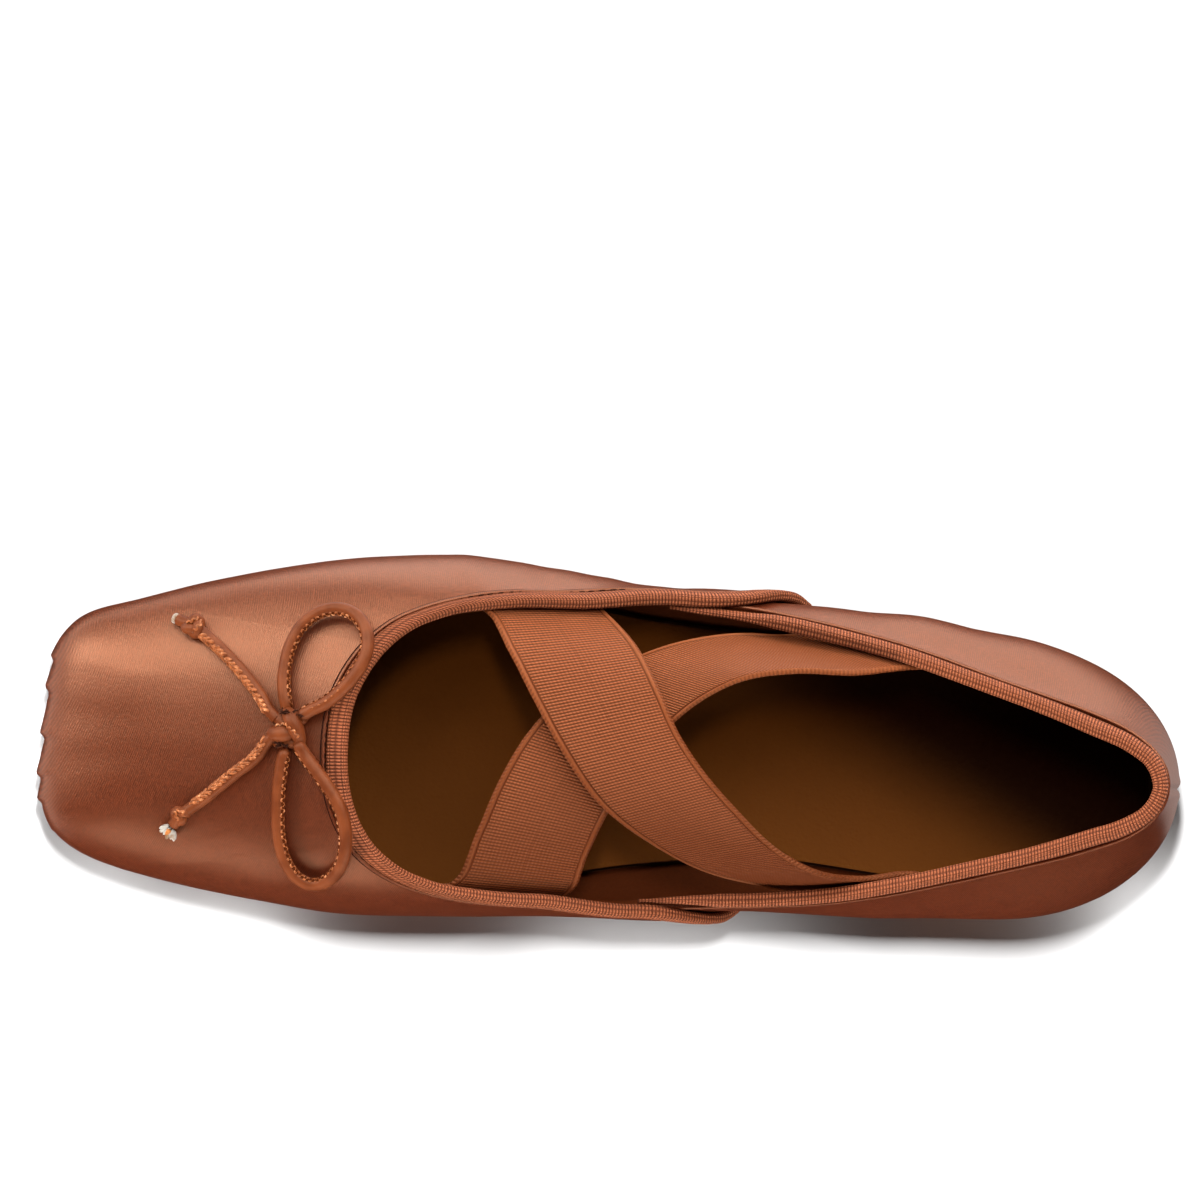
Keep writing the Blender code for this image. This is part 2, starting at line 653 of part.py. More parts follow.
OVER_ROWS = [
    StrapRow(inside_wall(1, -27.5, 11.0), inside_wall(1, -2.0, 11.0)),
    StrapRow(inside_wall(1, -26.2, 3.0), inside_wall(1, -1.2, 3.0)),
    StrapRow((-23.3, 24.0, 41.0), (5.8, 25.0, 38.5)),
    StrapRow((-17.3, 13.5, 44.0), (10.8, 16.0, 43.2)),
    StrapRow((-10.8, 2.8, 45.0), (15.0, 7.5, 44.5)),
    StrapRow((-2.0, -8.8, 43.5), (20.6, -0.3, 45.2)),
    StrapRow((10.2, -17.4, 39.5), (29.0, -9.2, 45.6)),
    StrapRow((22.8, -22.8, 34.5), (38.3, -17.4, 46.0)),
    StrapRow((34.5, -25.0, 31.0), (47.0, -21.8, 45.2)),
    StrapRow(inside_wall(-1, 46.0, 8.0), inside_wall(-1, 57.5, 0.5)),
    StrapRow(inside_wall(-1, 56.0, 14.0), inside_wall(-1, 69.0, 3.0)),
    StrapRow(inside_wall(-1, 61.0, 19.0), inside_wall(-1, 75.0, 9.0)),
]
UNDER_ROWS = [
    StrapRow(inside_wall(-1, -31.5, 11.0), inside_wall(-1, -6.0, 11.0)),
    StrapRow(inside_wall(-1, -30.8, 3.0), inside_wall(-1, -5.0, 3.0)),
    StrapRow((-28.3, -16.8, 39.5), (-3.6, -20.6, 36.5)),
    StrapRow((-23.8, -5.0, 41.0), (-0.2, -12.4, 39.0)),
    StrapRow((-17.5, 6.5, 41.2), (5.2, -2.6, 40.4)),
    StrapRow((-8.5, 16.0, 39.2), (11.8, 7.0, 41.3)),
    StrapRow((3.0, 22.6, 36.0), (20.0, 14.6, 42.6)),
    StrapRow((15.0, 27.2, 32.5), (29.8, 19.8, 44.2)),
    StrapRow((27.0, 29.4, 30.0), (41.0, 21.8, 44.4)),
    StrapRow((38.0, 29.6, 28.5), (53.0, 22.0, 44.0)),
    StrapRow(inside_wall(1, 50.0, 12.5), inside_wall(1, 66.0, 1.5)),
    StrapRow(inside_wall(1, 58.0, 18.0), inside_wall(1, 74.0, 7.0)),
]


def make_strap(name, rows):
    count = STRAP_STEPS + 1
    toe_edge = spline([row.toe_edge for row in rows], count)
    heel_edge = spline([row.heel_edge for row in rows], count)
    middle = (toe_edge + heel_edge) / 2
    across = heel_edge - toe_edge
    across /= np.linalg.norm(across, axis=1)[:, None]
    normal = np.cross(np.gradient(middle, axis=0), across)
    normal *= STRAP_THICK / 2 / np.linalg.norm(normal, axis=1)[:, None]
    sections = [
        np.array([t - n, (t + h) / 2 - n, h - n, h + n, (t + h) / 2 + n, t + n])
        for t, h, n in zip(toe_edge, heel_edge, normal)
    ]
    return loft(name, sections, ELASTIC, 0.85)


# -----------------------------------------------------------------------------
# Bow: a fine corded bow lying on the vamp. Its cords are laid by hand, a row for each place along their
# middle line, with how far that line lies above the vamp.
# -----------------------------------------------------------------------------
CORD = (0.30, 0.10, 0.04)
CORD_THICK = 3.0
CORD_SPACING = 3.0  # between the points along a cord
LIE = CORD_THICK / 2 + GAP
Laid = namedtuple("Laid", "x y above")
KNOT = Laid(-70.0, 4.1, 2.7)
KNOT_SIZE = (3.8, 4.6, 2.3)
END_KNOT_SIZE = (2.9, 2.3, 2.1)
KNOT_SLICES, KNOT_SIDES = 8, 16
LOOP_OUTER = [
    Laid(-71.2, 9.9, LIE), Laid(-71.8, 13.0, LIE), Laid(-71.8, 17.7, LIE), Laid(-70.4, 23.5, 2.2),
    Laid(-67.6, 28.0, 2.6), Laid(-63.9, 30.4, 3.0), Laid(-59.8, 31.0, 3.2), Laid(-56.4, 29.6, 3.3),
    Laid(-54.2, 26.2, 3.4), Laid(-54.0, 22.0, 3.4), Laid(-55.7, 17.8, 3.3), Laid(-59.0, 13.4, 3.0),
    Laid(-62.6, 10.2, 2.4), Laid(-65.4, 8.7, 2.1),
]
LOOP_INNER = [
    Laid(-71.3, -2.5, LIE), Laid(-71.8, -7.0, LIE), Laid(-71.9, -13.5, LIE), Laid(-71.3, -20.0, LIE),
    Laid(-69.2, -25.8, 2.1), Laid(-66.0, -29.0, 2.3), Laid(-62.8, -29.6, 2.4), Laid(-59.6, -28.2, 2.7),
    Laid(-57.2, -24.4, 3.1), Laid(-56.7, -18.7, 3.2), Laid(-58.1, -12.9, 3.1), Laid(-61.2, -7.9, 2.6),
    Laid(-64.4, -3.9, 2.1), Laid(-66.4, -1.4, LIE),
]
TAIL_OUTER = [
    Laid(-74.9, 8.2, LIE), Laid(-76.4, 10.6, LIE), Laid(-79.3, 14.2, LIE), Laid(-82.8, 18.0, LIE),
    Laid(-86.3, 21.3, LIE), Laid(-89.4, 23.8, LIE),
]
TAIL_INNER = [
    Laid(-75.0, 1.0, LIE), Laid(-77.0, -2.2, LIE), Laid(-80.9, -5.5, LIE), Laid(-84.9, -9.0, LIE),
    Laid(-88.2, -12.0, LIE), Laid(-90.0, -13.4, LIE),
]
END_KNOT_OUTER, END_KNOT_INNER = Laid(-92.4, 25.7, 2.5), Laid(-92.9, -15.9, 2.5)


def on_vamp(x, y):
    """(point, outward normal) of the vamp's outer face over a point of the plan."""
    w, share, step = (0.05 if y > 0 else -0.05), 0.8, 1e-3
    for _ in range(12):
        here = on_wall(w, share=share)[0]
        by_w = (on_wall(w + step, share=share)[0] - here) / step
        by_share = (on_wall(w, share=share - step)[0] - here) / -step
        move = np.linalg.solve(np.column_stack([by_w[:2], by_share[:2]]), np.array([x, y]) - here[:2])
        w, share = w + float(np.clip(move[0], -0.04, 0.04)), share + float(np.clip(move[1], -0.1, 0.1))
        share = min(share, 1.0)
    return on_wall(w, share=share)


def laid_place(laid):
    """(point, vamp's normal) of a place laid by hand, seen from above at its x and y."""
    normal = np.zeros(3)
    for _ in range(3):
        point, normal = on_vamp(laid.x - laid.above * normal[0], laid.y - laid.above * normal[1])
    return point + laid.above * normal, normal


def make_cord(name, rows):
    """A round cord with flat ends, as a curve with a thickness."""
    line = spline([laid_place(row)[0] for row in rows], 400)
    line = at_shares(line, np.linspace(0.0, 1.0, round(along(line)[-1] / CORD_SPACING) + 1))
    curve = bpy.data.curves.new(name, "CURVE")
    curve.dimensions = "3D"
    curve.bevel_depth = CORD_THICK / 2 * MM
    curve.bevel_resolution = 2
    curve.use_fill_caps = True
    path = curve.splines.new("POLY")
    path.points.add(len(line) - 1)
    for point, place in zip(path.points, placed(line)):
        point.co = (*place, 1.0)
    return new_object(name, curve, CORD)


def make_knot(name, laid, size, turn):
    """A plain rounded lump for a knot: its half sizes, and how far its long way is turned in plan."""
    centre, up = laid_place(laid)
    along_x = np.array([math.cos(turn), math.sin(turn), 0.0])
    along_y = np.cross(up, along_x)
    along_y /= np.linalg.norm(along_y)
    along_x = np.cross(along_y, up)
    spin = np.linspace(0.0, 2 * math.pi, KNOT_SIDES, endpoint=False)[:, None]
    rings = []
    for tilt in np.linspace(-0.5, 0.5, KNOT_SLICES + 1)[1:-1] * math.pi:
        flat = size[0] * np.cos(spin) * along_x + size[1] * np.sin(spin) * along_y
        rings.append(centre + math.cos(tilt) * flat + size[2] * math.sin(tilt) * up)
    return loft(name, rings, CORD)


def clear_scene():
    for old in list(bpy.data.objects):
        bpy.data.objects.remove(old)


def main():
    clear_scene()
    make_outsole()
    make_heel()
    make_insole()
    make_upper()
    make_vamp_binding()
    make_quarter_binding()
    make_strap("strap_over", OVER_ROWS)
    make_strap("strap_under", UNDER_ROWS)
    make_knot("bow_knot", KNOT, KNOT_SIZE, turn=0.2)
    make_cord("bow_loop_outer", LOOP_OUTER)
    make_cord("bow_loop_inner", LOOP_INNER)
    make_cord("bow_tail_outer", TAIL_OUTER)
    make_cord("bow_tail_inner", TAIL_INNER)
    make_knot("tail_knot_outer", END_KNOT_OUTER, END_KNOT_SIZE, turn=-0.7)
    make_knot("tail_knot_inner", END_KNOT_INNER, END_KNOT_SIZE, turn=0.8)


main()
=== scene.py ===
"""Looks of a square-toed ballet flat for the right foot: rust satin, ribbed tape, elastic, leather cord.

The shoe stands on its sole, toe along -X, outer side along +Y. Sizes are in millimetres, turned to metres
where a mesh is made.
"""

import math
from collections import namedtuple

import bmesh
import bpy
import numpy as np
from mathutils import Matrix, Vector
from mathutils.bvhtree import BVHTree


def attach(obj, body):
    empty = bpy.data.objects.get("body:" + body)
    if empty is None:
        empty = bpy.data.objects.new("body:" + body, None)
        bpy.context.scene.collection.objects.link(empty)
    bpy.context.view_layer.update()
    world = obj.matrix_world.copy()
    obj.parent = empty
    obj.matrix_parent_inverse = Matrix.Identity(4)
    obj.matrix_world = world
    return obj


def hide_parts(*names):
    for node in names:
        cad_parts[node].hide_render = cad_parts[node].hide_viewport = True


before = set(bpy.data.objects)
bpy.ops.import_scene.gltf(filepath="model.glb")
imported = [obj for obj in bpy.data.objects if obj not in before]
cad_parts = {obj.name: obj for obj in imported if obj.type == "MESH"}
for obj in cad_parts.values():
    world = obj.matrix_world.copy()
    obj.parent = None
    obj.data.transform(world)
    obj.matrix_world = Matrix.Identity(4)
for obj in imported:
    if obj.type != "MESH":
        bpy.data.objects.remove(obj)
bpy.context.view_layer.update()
MM = 0.001

# -----------------------------------------------------------------------------
# Studio: a pale sweep seen from straight above. The high lamp is given twice, for the sweep and for the shoe;
# small lamps by the ground thin the shadow. Soft boxes on both sides give the satin its bright and dim bands,
# and those that face up from the ground stand for the bright sweep mirrored in it.
# -----------------------------------------------------------------------------
CAMERA_ROLL = 2.643  # degrees, the shoe lies this much askew in the picture
CAMERA_OVER = (-3.46, 31.09)
PICTURE_WIDTH = 263.4
LENS = 1200.0  # so long that nothing shows in perspective
MID_HEIGHT = 30.0  # the picture is this wide at half the shoe's height

bpy.ops.object.select_all(action="DESELECT")
bpy.ops.object.camera_add(rotation=(0.0, 0.0, math.radians(CAMERA_ROLL)))
camera = bpy.context.object
camera.data.lens = LENS
camera.location = (
    CAMERA_OVER[0] * MM,
    CAMERA_OVER[1] * MM,
    (MID_HEIGHT + PICTURE_WIDTH * LENS / camera.data.sensor_width) * MM,
)
camera.data.clip_end = 20.0
bpy.context.scene.camera = camera
bpy.context.scene.view_settings.view_transform = "Standard"


def new_material(name, colour, roughness, **constants):
    """(material, tree, surface shader) of a new material, with its constants on the shader's own sockets."""
    made = bpy.data.materials.new(name)
    made.use_nodes = True
    surface = made.node_tree.nodes["Principled BSDF"]
    surface.inputs["Base Color"].default_value = (*colour, 1.0)
    surface.inputs["Roughness"].default_value = roughness
    for socket, value in constants.items():
        surface.inputs[socket.replace("_", " ")].default_value = value
    return made, made.node_tree, surface


bpy.ops.mesh.primitive_plane_add(size=8.0, location=(0.0, 0.0, 0.0))
floor = bpy.context.object
floor.name = "floor"
floor.data.materials.append(new_material("sweep", (0.62, 0.62, 0.62), 0.9)[0])
floor.visible_glossy = False
sweep_only = bpy.data.collections.new("sweep only")
sweep_only.objects.link(floor)
sweep_only.collection_objects[0].light_linking.link_state = "INCLUDE"
not_sweep = bpy.data.collections.new("all but the sweep")
not_sweep.objects.link(floor)
not_sweep.collection_objects[0].light_linking.link_state = "EXCLUDE"
LIT = {"sweep": sweep_only, "shoe": not_sweep}

SoftBox = namedtuple("SoftBox", "place aim size watts lit mirrored")  # places and sizes in metres
SOFT_BOXES = [
    SoftBox((0.0, 0.72, 3.0), (0.0, 0.0, 0.02), (0.16, 0.50), 168.0, "sweep", False),
    SoftBox((-0.140, -0.005, 0.020), (-0.140, -0.005, 0.0), (0.02, 0.02), 0.0110, "sweep", False),
    SoftBox((-0.115, -0.048, 0.014), (-0.115, -0.048, 0.0), (0.02, 0.02), 0.0060, "sweep", False),
    SoftBox((-0.086, -0.052, 0.012), (-0.086, -0.052, 0.0), (0.03, 0.01), 0.0062, "sweep", False),
    SoftBox((0.122, -0.035, 0.014), (0.122, -0.035, 0.0), (0.02, 0.02), 0.0045, "sweep", False),
    SoftBox((0.014, -0.052, 0.014), (0.014, -0.050, 0.0), (0.05, 0.01), 0.0055, "sweep", False),
    SoftBox((0.0, 0.72, 3.0), (0.0, 0.0, 0.02), (0.16, 0.50), 55.0, "shoe", False),
    SoftBox((0.05, 0.56, 0.97), (0.0, 0.0, 0.02), (1.3, 0.46), 9.8, "shoe", True),
    SoftBox((0.05, 0.95, 0.55), (0.0, 0.0, 0.02), (1.4, 0.50), 6.0, "shoe", True),
    SoftBox((-0.05, 1.10, 0.40), (-0.03, 0.0, 0.02), (1.2, 0.4), 19.0, "shoe", False),
    SoftBox((0.60, 0.60, 0.60), (0.06, 0.0, 0.03), (0.5, 0.4), 9.0, "shoe", False),
    SoftBox((-0.74, 0.50, 0.66), (-0.08, 0.0, 0.02), (0.4, 0.25), 2.8, "shoe", True),
    SoftBox((-1.02, 0.40, 0.34), (-0.10, 0.0, 0.02), (0.5, 0.3), 4.5, "shoe", True),
    SoftBox((0.15, 0.19, 0.002), (0.15, 0.19, 1.0), (0.50, 0.26), 0.92, "shoe", True),
    SoftBox((-0.22, 0.17, 0.002), (-0.22, 0.17, 1.0), (0.24, 0.24), 0.26, "shoe", True),
    SoftBox((0.20, 0.03, 0.002), (0.20, 0.03, 1.0), (0.14, 0.10), 0.032, "shoe", True),
    SoftBox((-0.21, 0.01, 0.002), (-0.21, 0.01, 1.0), (0.14, 0.14), 0.075, "shoe", True),
    SoftBox((0.05, -0.88, 0.58), (0.0, 0.0, 0.02), (1.5, 0.45), 5.8, "shoe", True),
    SoftBox((0.70, -0.55, 0.50), (0.06, 0.0, 0.03), (0.5, 0.4), 7.0, "shoe", False),
    SoftBox((0.45, -0.70, 0.14), (0.06, -0.02, 0.03), (0.6, 0.2), 4.0, "shoe", False),
    SoftBox((-0.60, -0.50, 0.16), (-0.10, -0.03, 0.01), (0.3, 0.2), 13.0, "shoe", False),
    SoftBox((0.05, -0.95, 0.30), (0.0, 0.0, 0.02), (1.5, 0.30), 3.8, "shoe", False),
]
for box in SOFT_BOXES:
    bpy.ops.object.light_add(type="AREA", location=box.place)
    lamp = bpy.context.object
    lamp.data.shape = "RECTANGLE"
    lamp.data.size, lamp.data.size_y = box.size
    lamp.data.energy = box.watts
    lamp.data.color = (1.0, 1.0, 1.0) if box.lit == "sweep" else (1.0, 0.985, 0.97)
    lamp.rotation_euler = (Vector(box.aim) - Vector(box.place)).to_track_quat("-Z", "Y").to_euler()
    lamp.visible_camera = False
    lamp.visible_glossy = box.mirrored
    lamp.light_linking.receiver_collection = LIT[box.lit]

world = bpy.data.worlds.new("studio")
bpy.context.scene.world = world
world.use_nodes = True
world.node_tree.nodes["Background"].inputs["Color"].default_value = (1.0, 1.0, 1.0, 1.0)
world.node_tree.nodes["Background"].inputs["Strength"].default_value = 0.018


# -----------------------------------------------------------------------------
# Outsole and heel: dark brown moulded rubber, a thin sole with its edge left plain and a low block
# under the heel seat.
# -----------------------------------------------------------------------------
def only(piece):
    """Selects one piece and nothing else."""
    bpy.ops.object.select_all(action="DESELECT")
    piece.select_set(True)
    bpy.context.view_layer.objects.active = piece


def skin_of(node, name):
    """A copy of a frame node, its loose triangles merged into one skin of four-sided faces."""
    piece = bpy.data.objects.new(name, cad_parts[node].data.copy())
    bpy.context.scene.collection.objects.link(piece)
    only(piece)
    bpy.ops.mesh.customdata_custom_splitnormals_clear()
    bpy.ops.object.mode_set(mode="EDIT")
    bpy.ops.mesh.select_all(action="SELECT")
    bpy.ops.mesh.remove_doubles(threshold=0.02 * MM)
    bpy.ops.mesh.tris_convert_to_quads(face_threshold=math.radians(60), shape_threshold=math.radians(120))
    bpy.ops.object.mode_set(mode="OBJECT")
    piece.data.materials.clear()
    return piece


def points_of(mesh):
    flat = np.empty(len(mesh.vertices) * 3)
    mesh.vertices.foreach_get("co", flat)
    return flat.reshape(-1, 3) / MM


def moved(mesh, points):
    mesh.vertices.foreach_set("co", (np.asarray(points) * MM).ravel())
    mesh.update()


def smoothed(piece, levels, sharp=60.0):
    """Rounds a piece with a Subdivision Surface that still passes through its corners and sharp edges."""
    only(piece)
    bpy.ops.object.mode_set(mode="EDIT")
    bpy.ops.mesh.select_mode(type="EDGE")
    bpy.ops.mesh.select_all(action="DESELECT")
    bpy.ops.mesh.edges_select_sharp(sharpness=math.radians(sharp))
    bpy.ops.transform.edge_crease(value=1.0)
    bpy.ops.object.mode_set(mode="OBJECT")
    rounding = piece.modifiers.new("rounding", "SUBSURF")
    rounding.levels = rounding.render_levels = levels
    wanted = points_of(piece.data)
    for _ in range(4):
        evaluated = piece.evaluated_get(bpy.context.evaluated_depsgraph_get())
        shown = points_of(evaluated.data)[: len(wanted)]
        moved(piece.data, points_of(piece.data) + wanted - shown)
    bpy.ops.object.modifier_apply(modifier="rounding")
    bpy.ops.object.shade_smooth_by_angle(angle=math.radians(sharp))
    return piece


def add(tree, kind, inputs=(), **settings):
    """A node in a material. Its inputs are given by name or number, as values or as links."""
    made = tree.nodes.new("ShaderNode" + kind)
    for name, value in settings.items():
        setattr(made, name, value)
    for name, value in dict(inputs).items():
        if isinstance(value, bpy.types.NodeSocket):
            tree.links.new(value, made.inputs[name])
        else:
            made.inputs[name].default_value = value
    return made


def calc(tree, operation, a, b=0.0, c=0.0):
    return add(tree, "Math", {0: a, 1: b, 2: c}, operation=operation).outputs[0]


def blended(tree, share, first, second):
    """A colour between two others."""
    made = add(tree, "Mix", {"Factor": share}, data_type="RGBA")
    for socket, colour in ((made.inputs[6], first), (made.inputs[7], second)):
        if isinstance(colour, bpy.types.NodeSocket):
            tree.links.new(colour, socket)
        else:
            socket.default_value = (*colour, 1.0)
    return made.outputs[2]


def bumped(tree, surface, height, distance, strength=1.0):
    """Gives a surface a fine relief, its height in millimetres."""
    relief = add(tree, "Bump", {"Height": height, "Distance": distance * MM, "Strength": strength})
    tree.links.new(relief.outputs["Normal"], surface.inputs["Normal"])


def handed(piece, material, slot, *nodes):
    """Gives a piece its finish and its place in the shoe, and lets it stand for frame nodes."""
    if material:
        piece.data.materials.append(material)
    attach(piece, "root")
    if nodes:
        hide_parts(*nodes)
    return piece


rubber, tree, surface = new_material("rubber", (0.075, 0.030, 0.014), 0.62)
place = add(tree, "TexCoord").outputs["Object"]
speck = add(tree, "TexNoise", {"Vector": place, "Scale": 900.0, "Detail": 3.0}).outputs["Fac"]
shade = blended(tree, speck, (0.060, 0.024, 0.012), (0.095, 0.038, 0.019))
tree.links.new(shade, surface.inputs["Base Color"])
bumped(tree, surface, speck, 0.05)

outsole = skin_of("outsole", "outsole_edge")
smoothed(outsole, 2)
handed(outsole, rubber, "outsole", "outsole")

heel_block = skin_of("heel", "heel_block")
only(heel_block)
bevel = heel_block.modifiers.new("edges", "BEVEL")
bevel.width, bevel.segments, bevel.limit_method, bevel.angle_limit = 0.6 * MM, 3, "ANGLE", math.radians(50)
bpy.ops.object.modifier_apply(modifier="edges")
bpy.ops.object.shade_smooth_by_angle(angle=math.radians(35))
handed(heel_block, rubber, "heel", "heel")

# -----------------------------------------------------------------------------
# Insole: golden brown leather glued over a thin board, its edge rounded down beside the lining. Its colour
# holds some of the heel cup's shade and of the light on the inner side, which the lamps don't give enough.
# -----------------------------------------------------------------------------
HEEL_SHADE = (0.038, 0.082)  # metres on the slant below, from no shade to the heel cup's full shade
sock_leather, tree, surface = new_material(
    "sock leather", (0.080, 0.030, 0.006), 0.55, Specular_IOR_Level=0.15
)
surface.inputs["Specular Tint"].default_value = (1.0, 0.5, 0.2, 1.0)
place = add(tree, "TexCoord").outputs["Object"]
axes = add(tree, "SeparateXYZ", {0: place}).outputs
pebble = add(tree, "TexVoronoi", {"Vector": place, "Scale": 1400.0}, feature="SMOOTH_F1").outputs["Distance"]
cloud = add(tree, "TexNoise", {"Vector": place, "Scale": 40.0, "Detail": 4.0}).outputs["Fac"]
fine = add(tree, "TexNoise", {"Vector": place, "Scale": 700.0, "Detail": 4.0}).outputs["Fac"]
shade = blended(tree, cloud, (0.038, 0.0100, 0.0012), (0.062, 0.0176, 0.0024))
shade = blended(tree, calc(tree, "MULTIPLY", fine, 0.35), shade, (0.034, 0.0085, 0.0010))
lit_side = add(tree, "MapRange", {"Value": axes[1], 1: 0.006, 2: -0.030, 3: 0.0, 4: 0.8}).outputs[0]
shade = blended(tree, lit_side, shade, (0.088, 0.0270, 0.0048))
rearwards = calc(tree, "MULTIPLY_ADD", axes[1], 1.7, axes[0])
shaded = {"Value": rearwards, 1: HEEL_SHADE[0], 2: HEEL_SHADE[1]}
shaded = add(tree, "MapRange", shaded, interpolation_type="SMOOTHSTEP").outputs[0]
tree.links.new(blended(tree, shaded, shade, (0.0045, 0.0007, 0.0003)), surface.inputs["Base Color"])
bumped(tree, surface, calc(tree, "ADD", pebble, calc(tree, "MULTIPLY", fine, 0.6)), 0.08)

sock = skin_of("insole", "sock")
smoothed(sock, 2)
handed(sock, sock_leather, "insole", "insole")

# -----------------------------------------------------------------------------
# Upper: satin over a lining, one skin. The satin is lasted over the square toe in small pleats, its
# two quarters meet in a seam down the back of the heel, and it ripples a little at the waist.
# -----------------------------------------------------------------------------
GATHER_X, GATHER_Y = -88.0, -4.5  # the toe's pleats fan out from here
Pleat = namedtuple("Pleat", "bearing run depth top")  # degrees, degrees, mm, mm above the ground
PLEATS = [
    Pleat(62.0, 13.0, 0.7, 12.0),
    Pleat(50.0, 12.0, 0.9, 13.0),
    Pleat(38.5, 11.0, 0.9, 15.0),
    Pleat(27.3, 10.5, 1.0, 20.0),
    Pleat(17.3, 9.5, 1.1, 21.0),
    Pleat(1.4, 14.5, 1.2, 22.0),
    Pleat(-12.4, 13.0, 1.2, 22.0),
    Pleat(-20.4, 7.5, 1.0, 21.0),
    Pleat(-31.0, 10.0, 1.0, 16.0),
    Pleat(-42.5, 11.0, 0.9, 13.0),
    Pleat(-54.0, 11.0, 0.8, 12.0),
    Pleat(-66.0, 12.0, 0.6, 11.0),
]
PLEAT_FOLD = 2.2  # degrees over which a pleat's sharp side falls
PLEAT_FADE = 7.0  # mm over which a pleat runs out at its top

Fold = namedtuple("Fold", "x0 y0 x1 y1 width rise low high")  # a soft ridge (or trough) seen from above
FOLDS = [
    Fold(-36.0, 41.0, -27.0, 30.0, 3.2, 0.35, 4.0, 60.0),
    Fold(-17.0, 40.0, -14.0, 28.0, 3.4, -0.45, 4.0, 60.0),
    Fold(-3.0, 39.0, 1.0, 28.0, 3.6, 0.40, 4.0, 60.0),
    Fold(13.0, 37.0, 16.0, 27.0, 3.4, -0.35, 4.0, 60.0),
    Fold(48.0, 37.0, 66.0, 25.0, 4.0, -0.40, 8.0, 60.0),
    Fold(58.0, 38.0, 78.0, 27.0, 4.5, 0.35, 8.0, 60.0),
    Fold(70.0, -33.0, 96.0, -26.0, 4.5, 0.35, 8.0, 56.0),
    Fold(60.0, -34.0, 84.0, -31.0, 4.0, -0.35, 8.0, 56.0),
]

WEAVE_PITCH = 0.42  # mm between the lines of the satin's floats
WEAVE_LEAN = (21.0, -21.0)  # degrees by which the two sets of lines lean from straight across the shoe
SATIN_DARK, SATIN_MID, SATIN_LIGHT = (0.013, 0.0017, 0.0004), (0.045, 0.0075, 0.0023), (0.095, 0.0180, 0.0062)
satin, tree, surface = new_material("satin", SATIN_MID, 0.38, IOR=1.8, Specular_IOR_Level=1.0)
surface.inputs["Specular Tint"].default_value = (0.98, 0.46, 0.26, 1.0)
place = add(tree, "TexCoord").outputs["Object"]
axes = add(tree, "SeparateXYZ", {0: place}).outputs
cloud = add(tree, "TexNoise", {"Vector": place, "Scale": 30.0, "Detail": 2.0}).outputs["Fac"]
stray = add(tree, "TexNoise", {"Vector": place, "Scale": 1500.0, "Detail": 1.0}).outputs["Fac"]
up_wall = calc(tree, "MULTIPLY_ADD", axes[2], 0.9, axes[1])
floats = stray
for lean in WEAVE_LEAN:
    turns = 2 * math.pi / (WEAVE_PITCH * MM)
    along_shoe = calc(tree, "MULTIPLY", axes[0], turns * math.cos(math.radians(lean)))
    turn = calc(tree, "MULTIPLY_ADD", up_wall, turns * math.sin(math.radians(lean)), along_shoe)
    turn = calc(tree, "MULTIPLY_ADD", stray, 4.0, turn)
    floats = calc(tree, "MULTIPLY_ADD", calc(tree, "SINE", turn), 0.24, floats)
tone = add(tree, "MapRange", {"Value": floats, 1: 0.18, 2: 0.82}).outputs[0]
shade = blended(tree, tone, SATIN_DARK, SATIN_LIGHT)
shade = blended(tree, calc(tree, "MULTIPLY", cloud, 0.35), shade, SATIN_MID)
tree.links.new(shade, surface.inputs["Base Color"])
bumped(tree, surface, floats, 0.036)

lining, tree, surface = new_material("lining", (0.050, 0.014, 0.005), 0.75, Specular_IOR_Level=0.1)
surface.inputs["Specular Tint"].default_value = (1.0, 0.5, 0.25, 1.0)
place = add(tree, "TexCoord").outputs["Object"]
nap = add(tree, "TexNoise", {"Vector": place, "Scale": 1500.0, "Detail": 3.0}).outputs["Fac"]
shade = blended(tree, nap, (0.026, 0.0048, 0.0012), (0.050, 0.0105, 0.0026))
tree.links.new(shade, surface.inputs["Base Color"])
bumped(tree, surface, nap, 0.08)


def ease(t):
    """0 below 0, 1 above 1, and an S-curve between."""
    t = np.clip(t, 0.0, 1.0)
    return t * t * (3 - 2 * t)


def normals_of(mesh):
    flat = np.empty(len(mesh.vertices) * 3)
    mesh.vertices.foreach_get("normal", flat)
    return flat.reshape(-1, 3)


upper = skin_of("upper", "satin_upper")
upper.data.materials.append(satin)
upper.data.materials.append(lining)
for face in upper.data.polygons:
    middle = face.center / MM
    inside = Vector((min(max(middle.x, -95.0), 100.0), GATHER_Y, 16.0))
    top_edge = face.normal.z > 0.85 and middle.x > -10.0
    face.material_index = 1 if top_edge or face.normal.dot(inside - middle) > 0 else 0
smoothed(upper, 2)

# finer faces where the toe is pleated and where the back seam runs
for low, high, cuts in (
    ((-130.0, -45.0, 0.0), (-84.0, 40.0, 34.0), 1),
    ((112.0, GATHER_Y - 5.0, 0.0), (130.0, GATHER_Y + 5.0, 70.0), 2),
):
    only(upper)
    bpy.ops.object.mode_set(mode="EDIT")
    bpy.ops.mesh.select_mode(type="FACE")
    bpy.ops.mesh.select_all(action="DESELECT")
    bpy.ops.object.mode_set(mode="OBJECT")
    for face in upper.data.polygons:
        within = all(a < c / MM < b for a, c, b in zip(low, face.center, high))
        face.select = within and face.material_index == 0
    bpy.ops.object.mode_set(mode="EDIT")
    bpy.ops.mesh.subdivide(number_cuts=cuts, smoothness=1.0)
    bpy.ops.object.mode_set(mode="OBJECT")

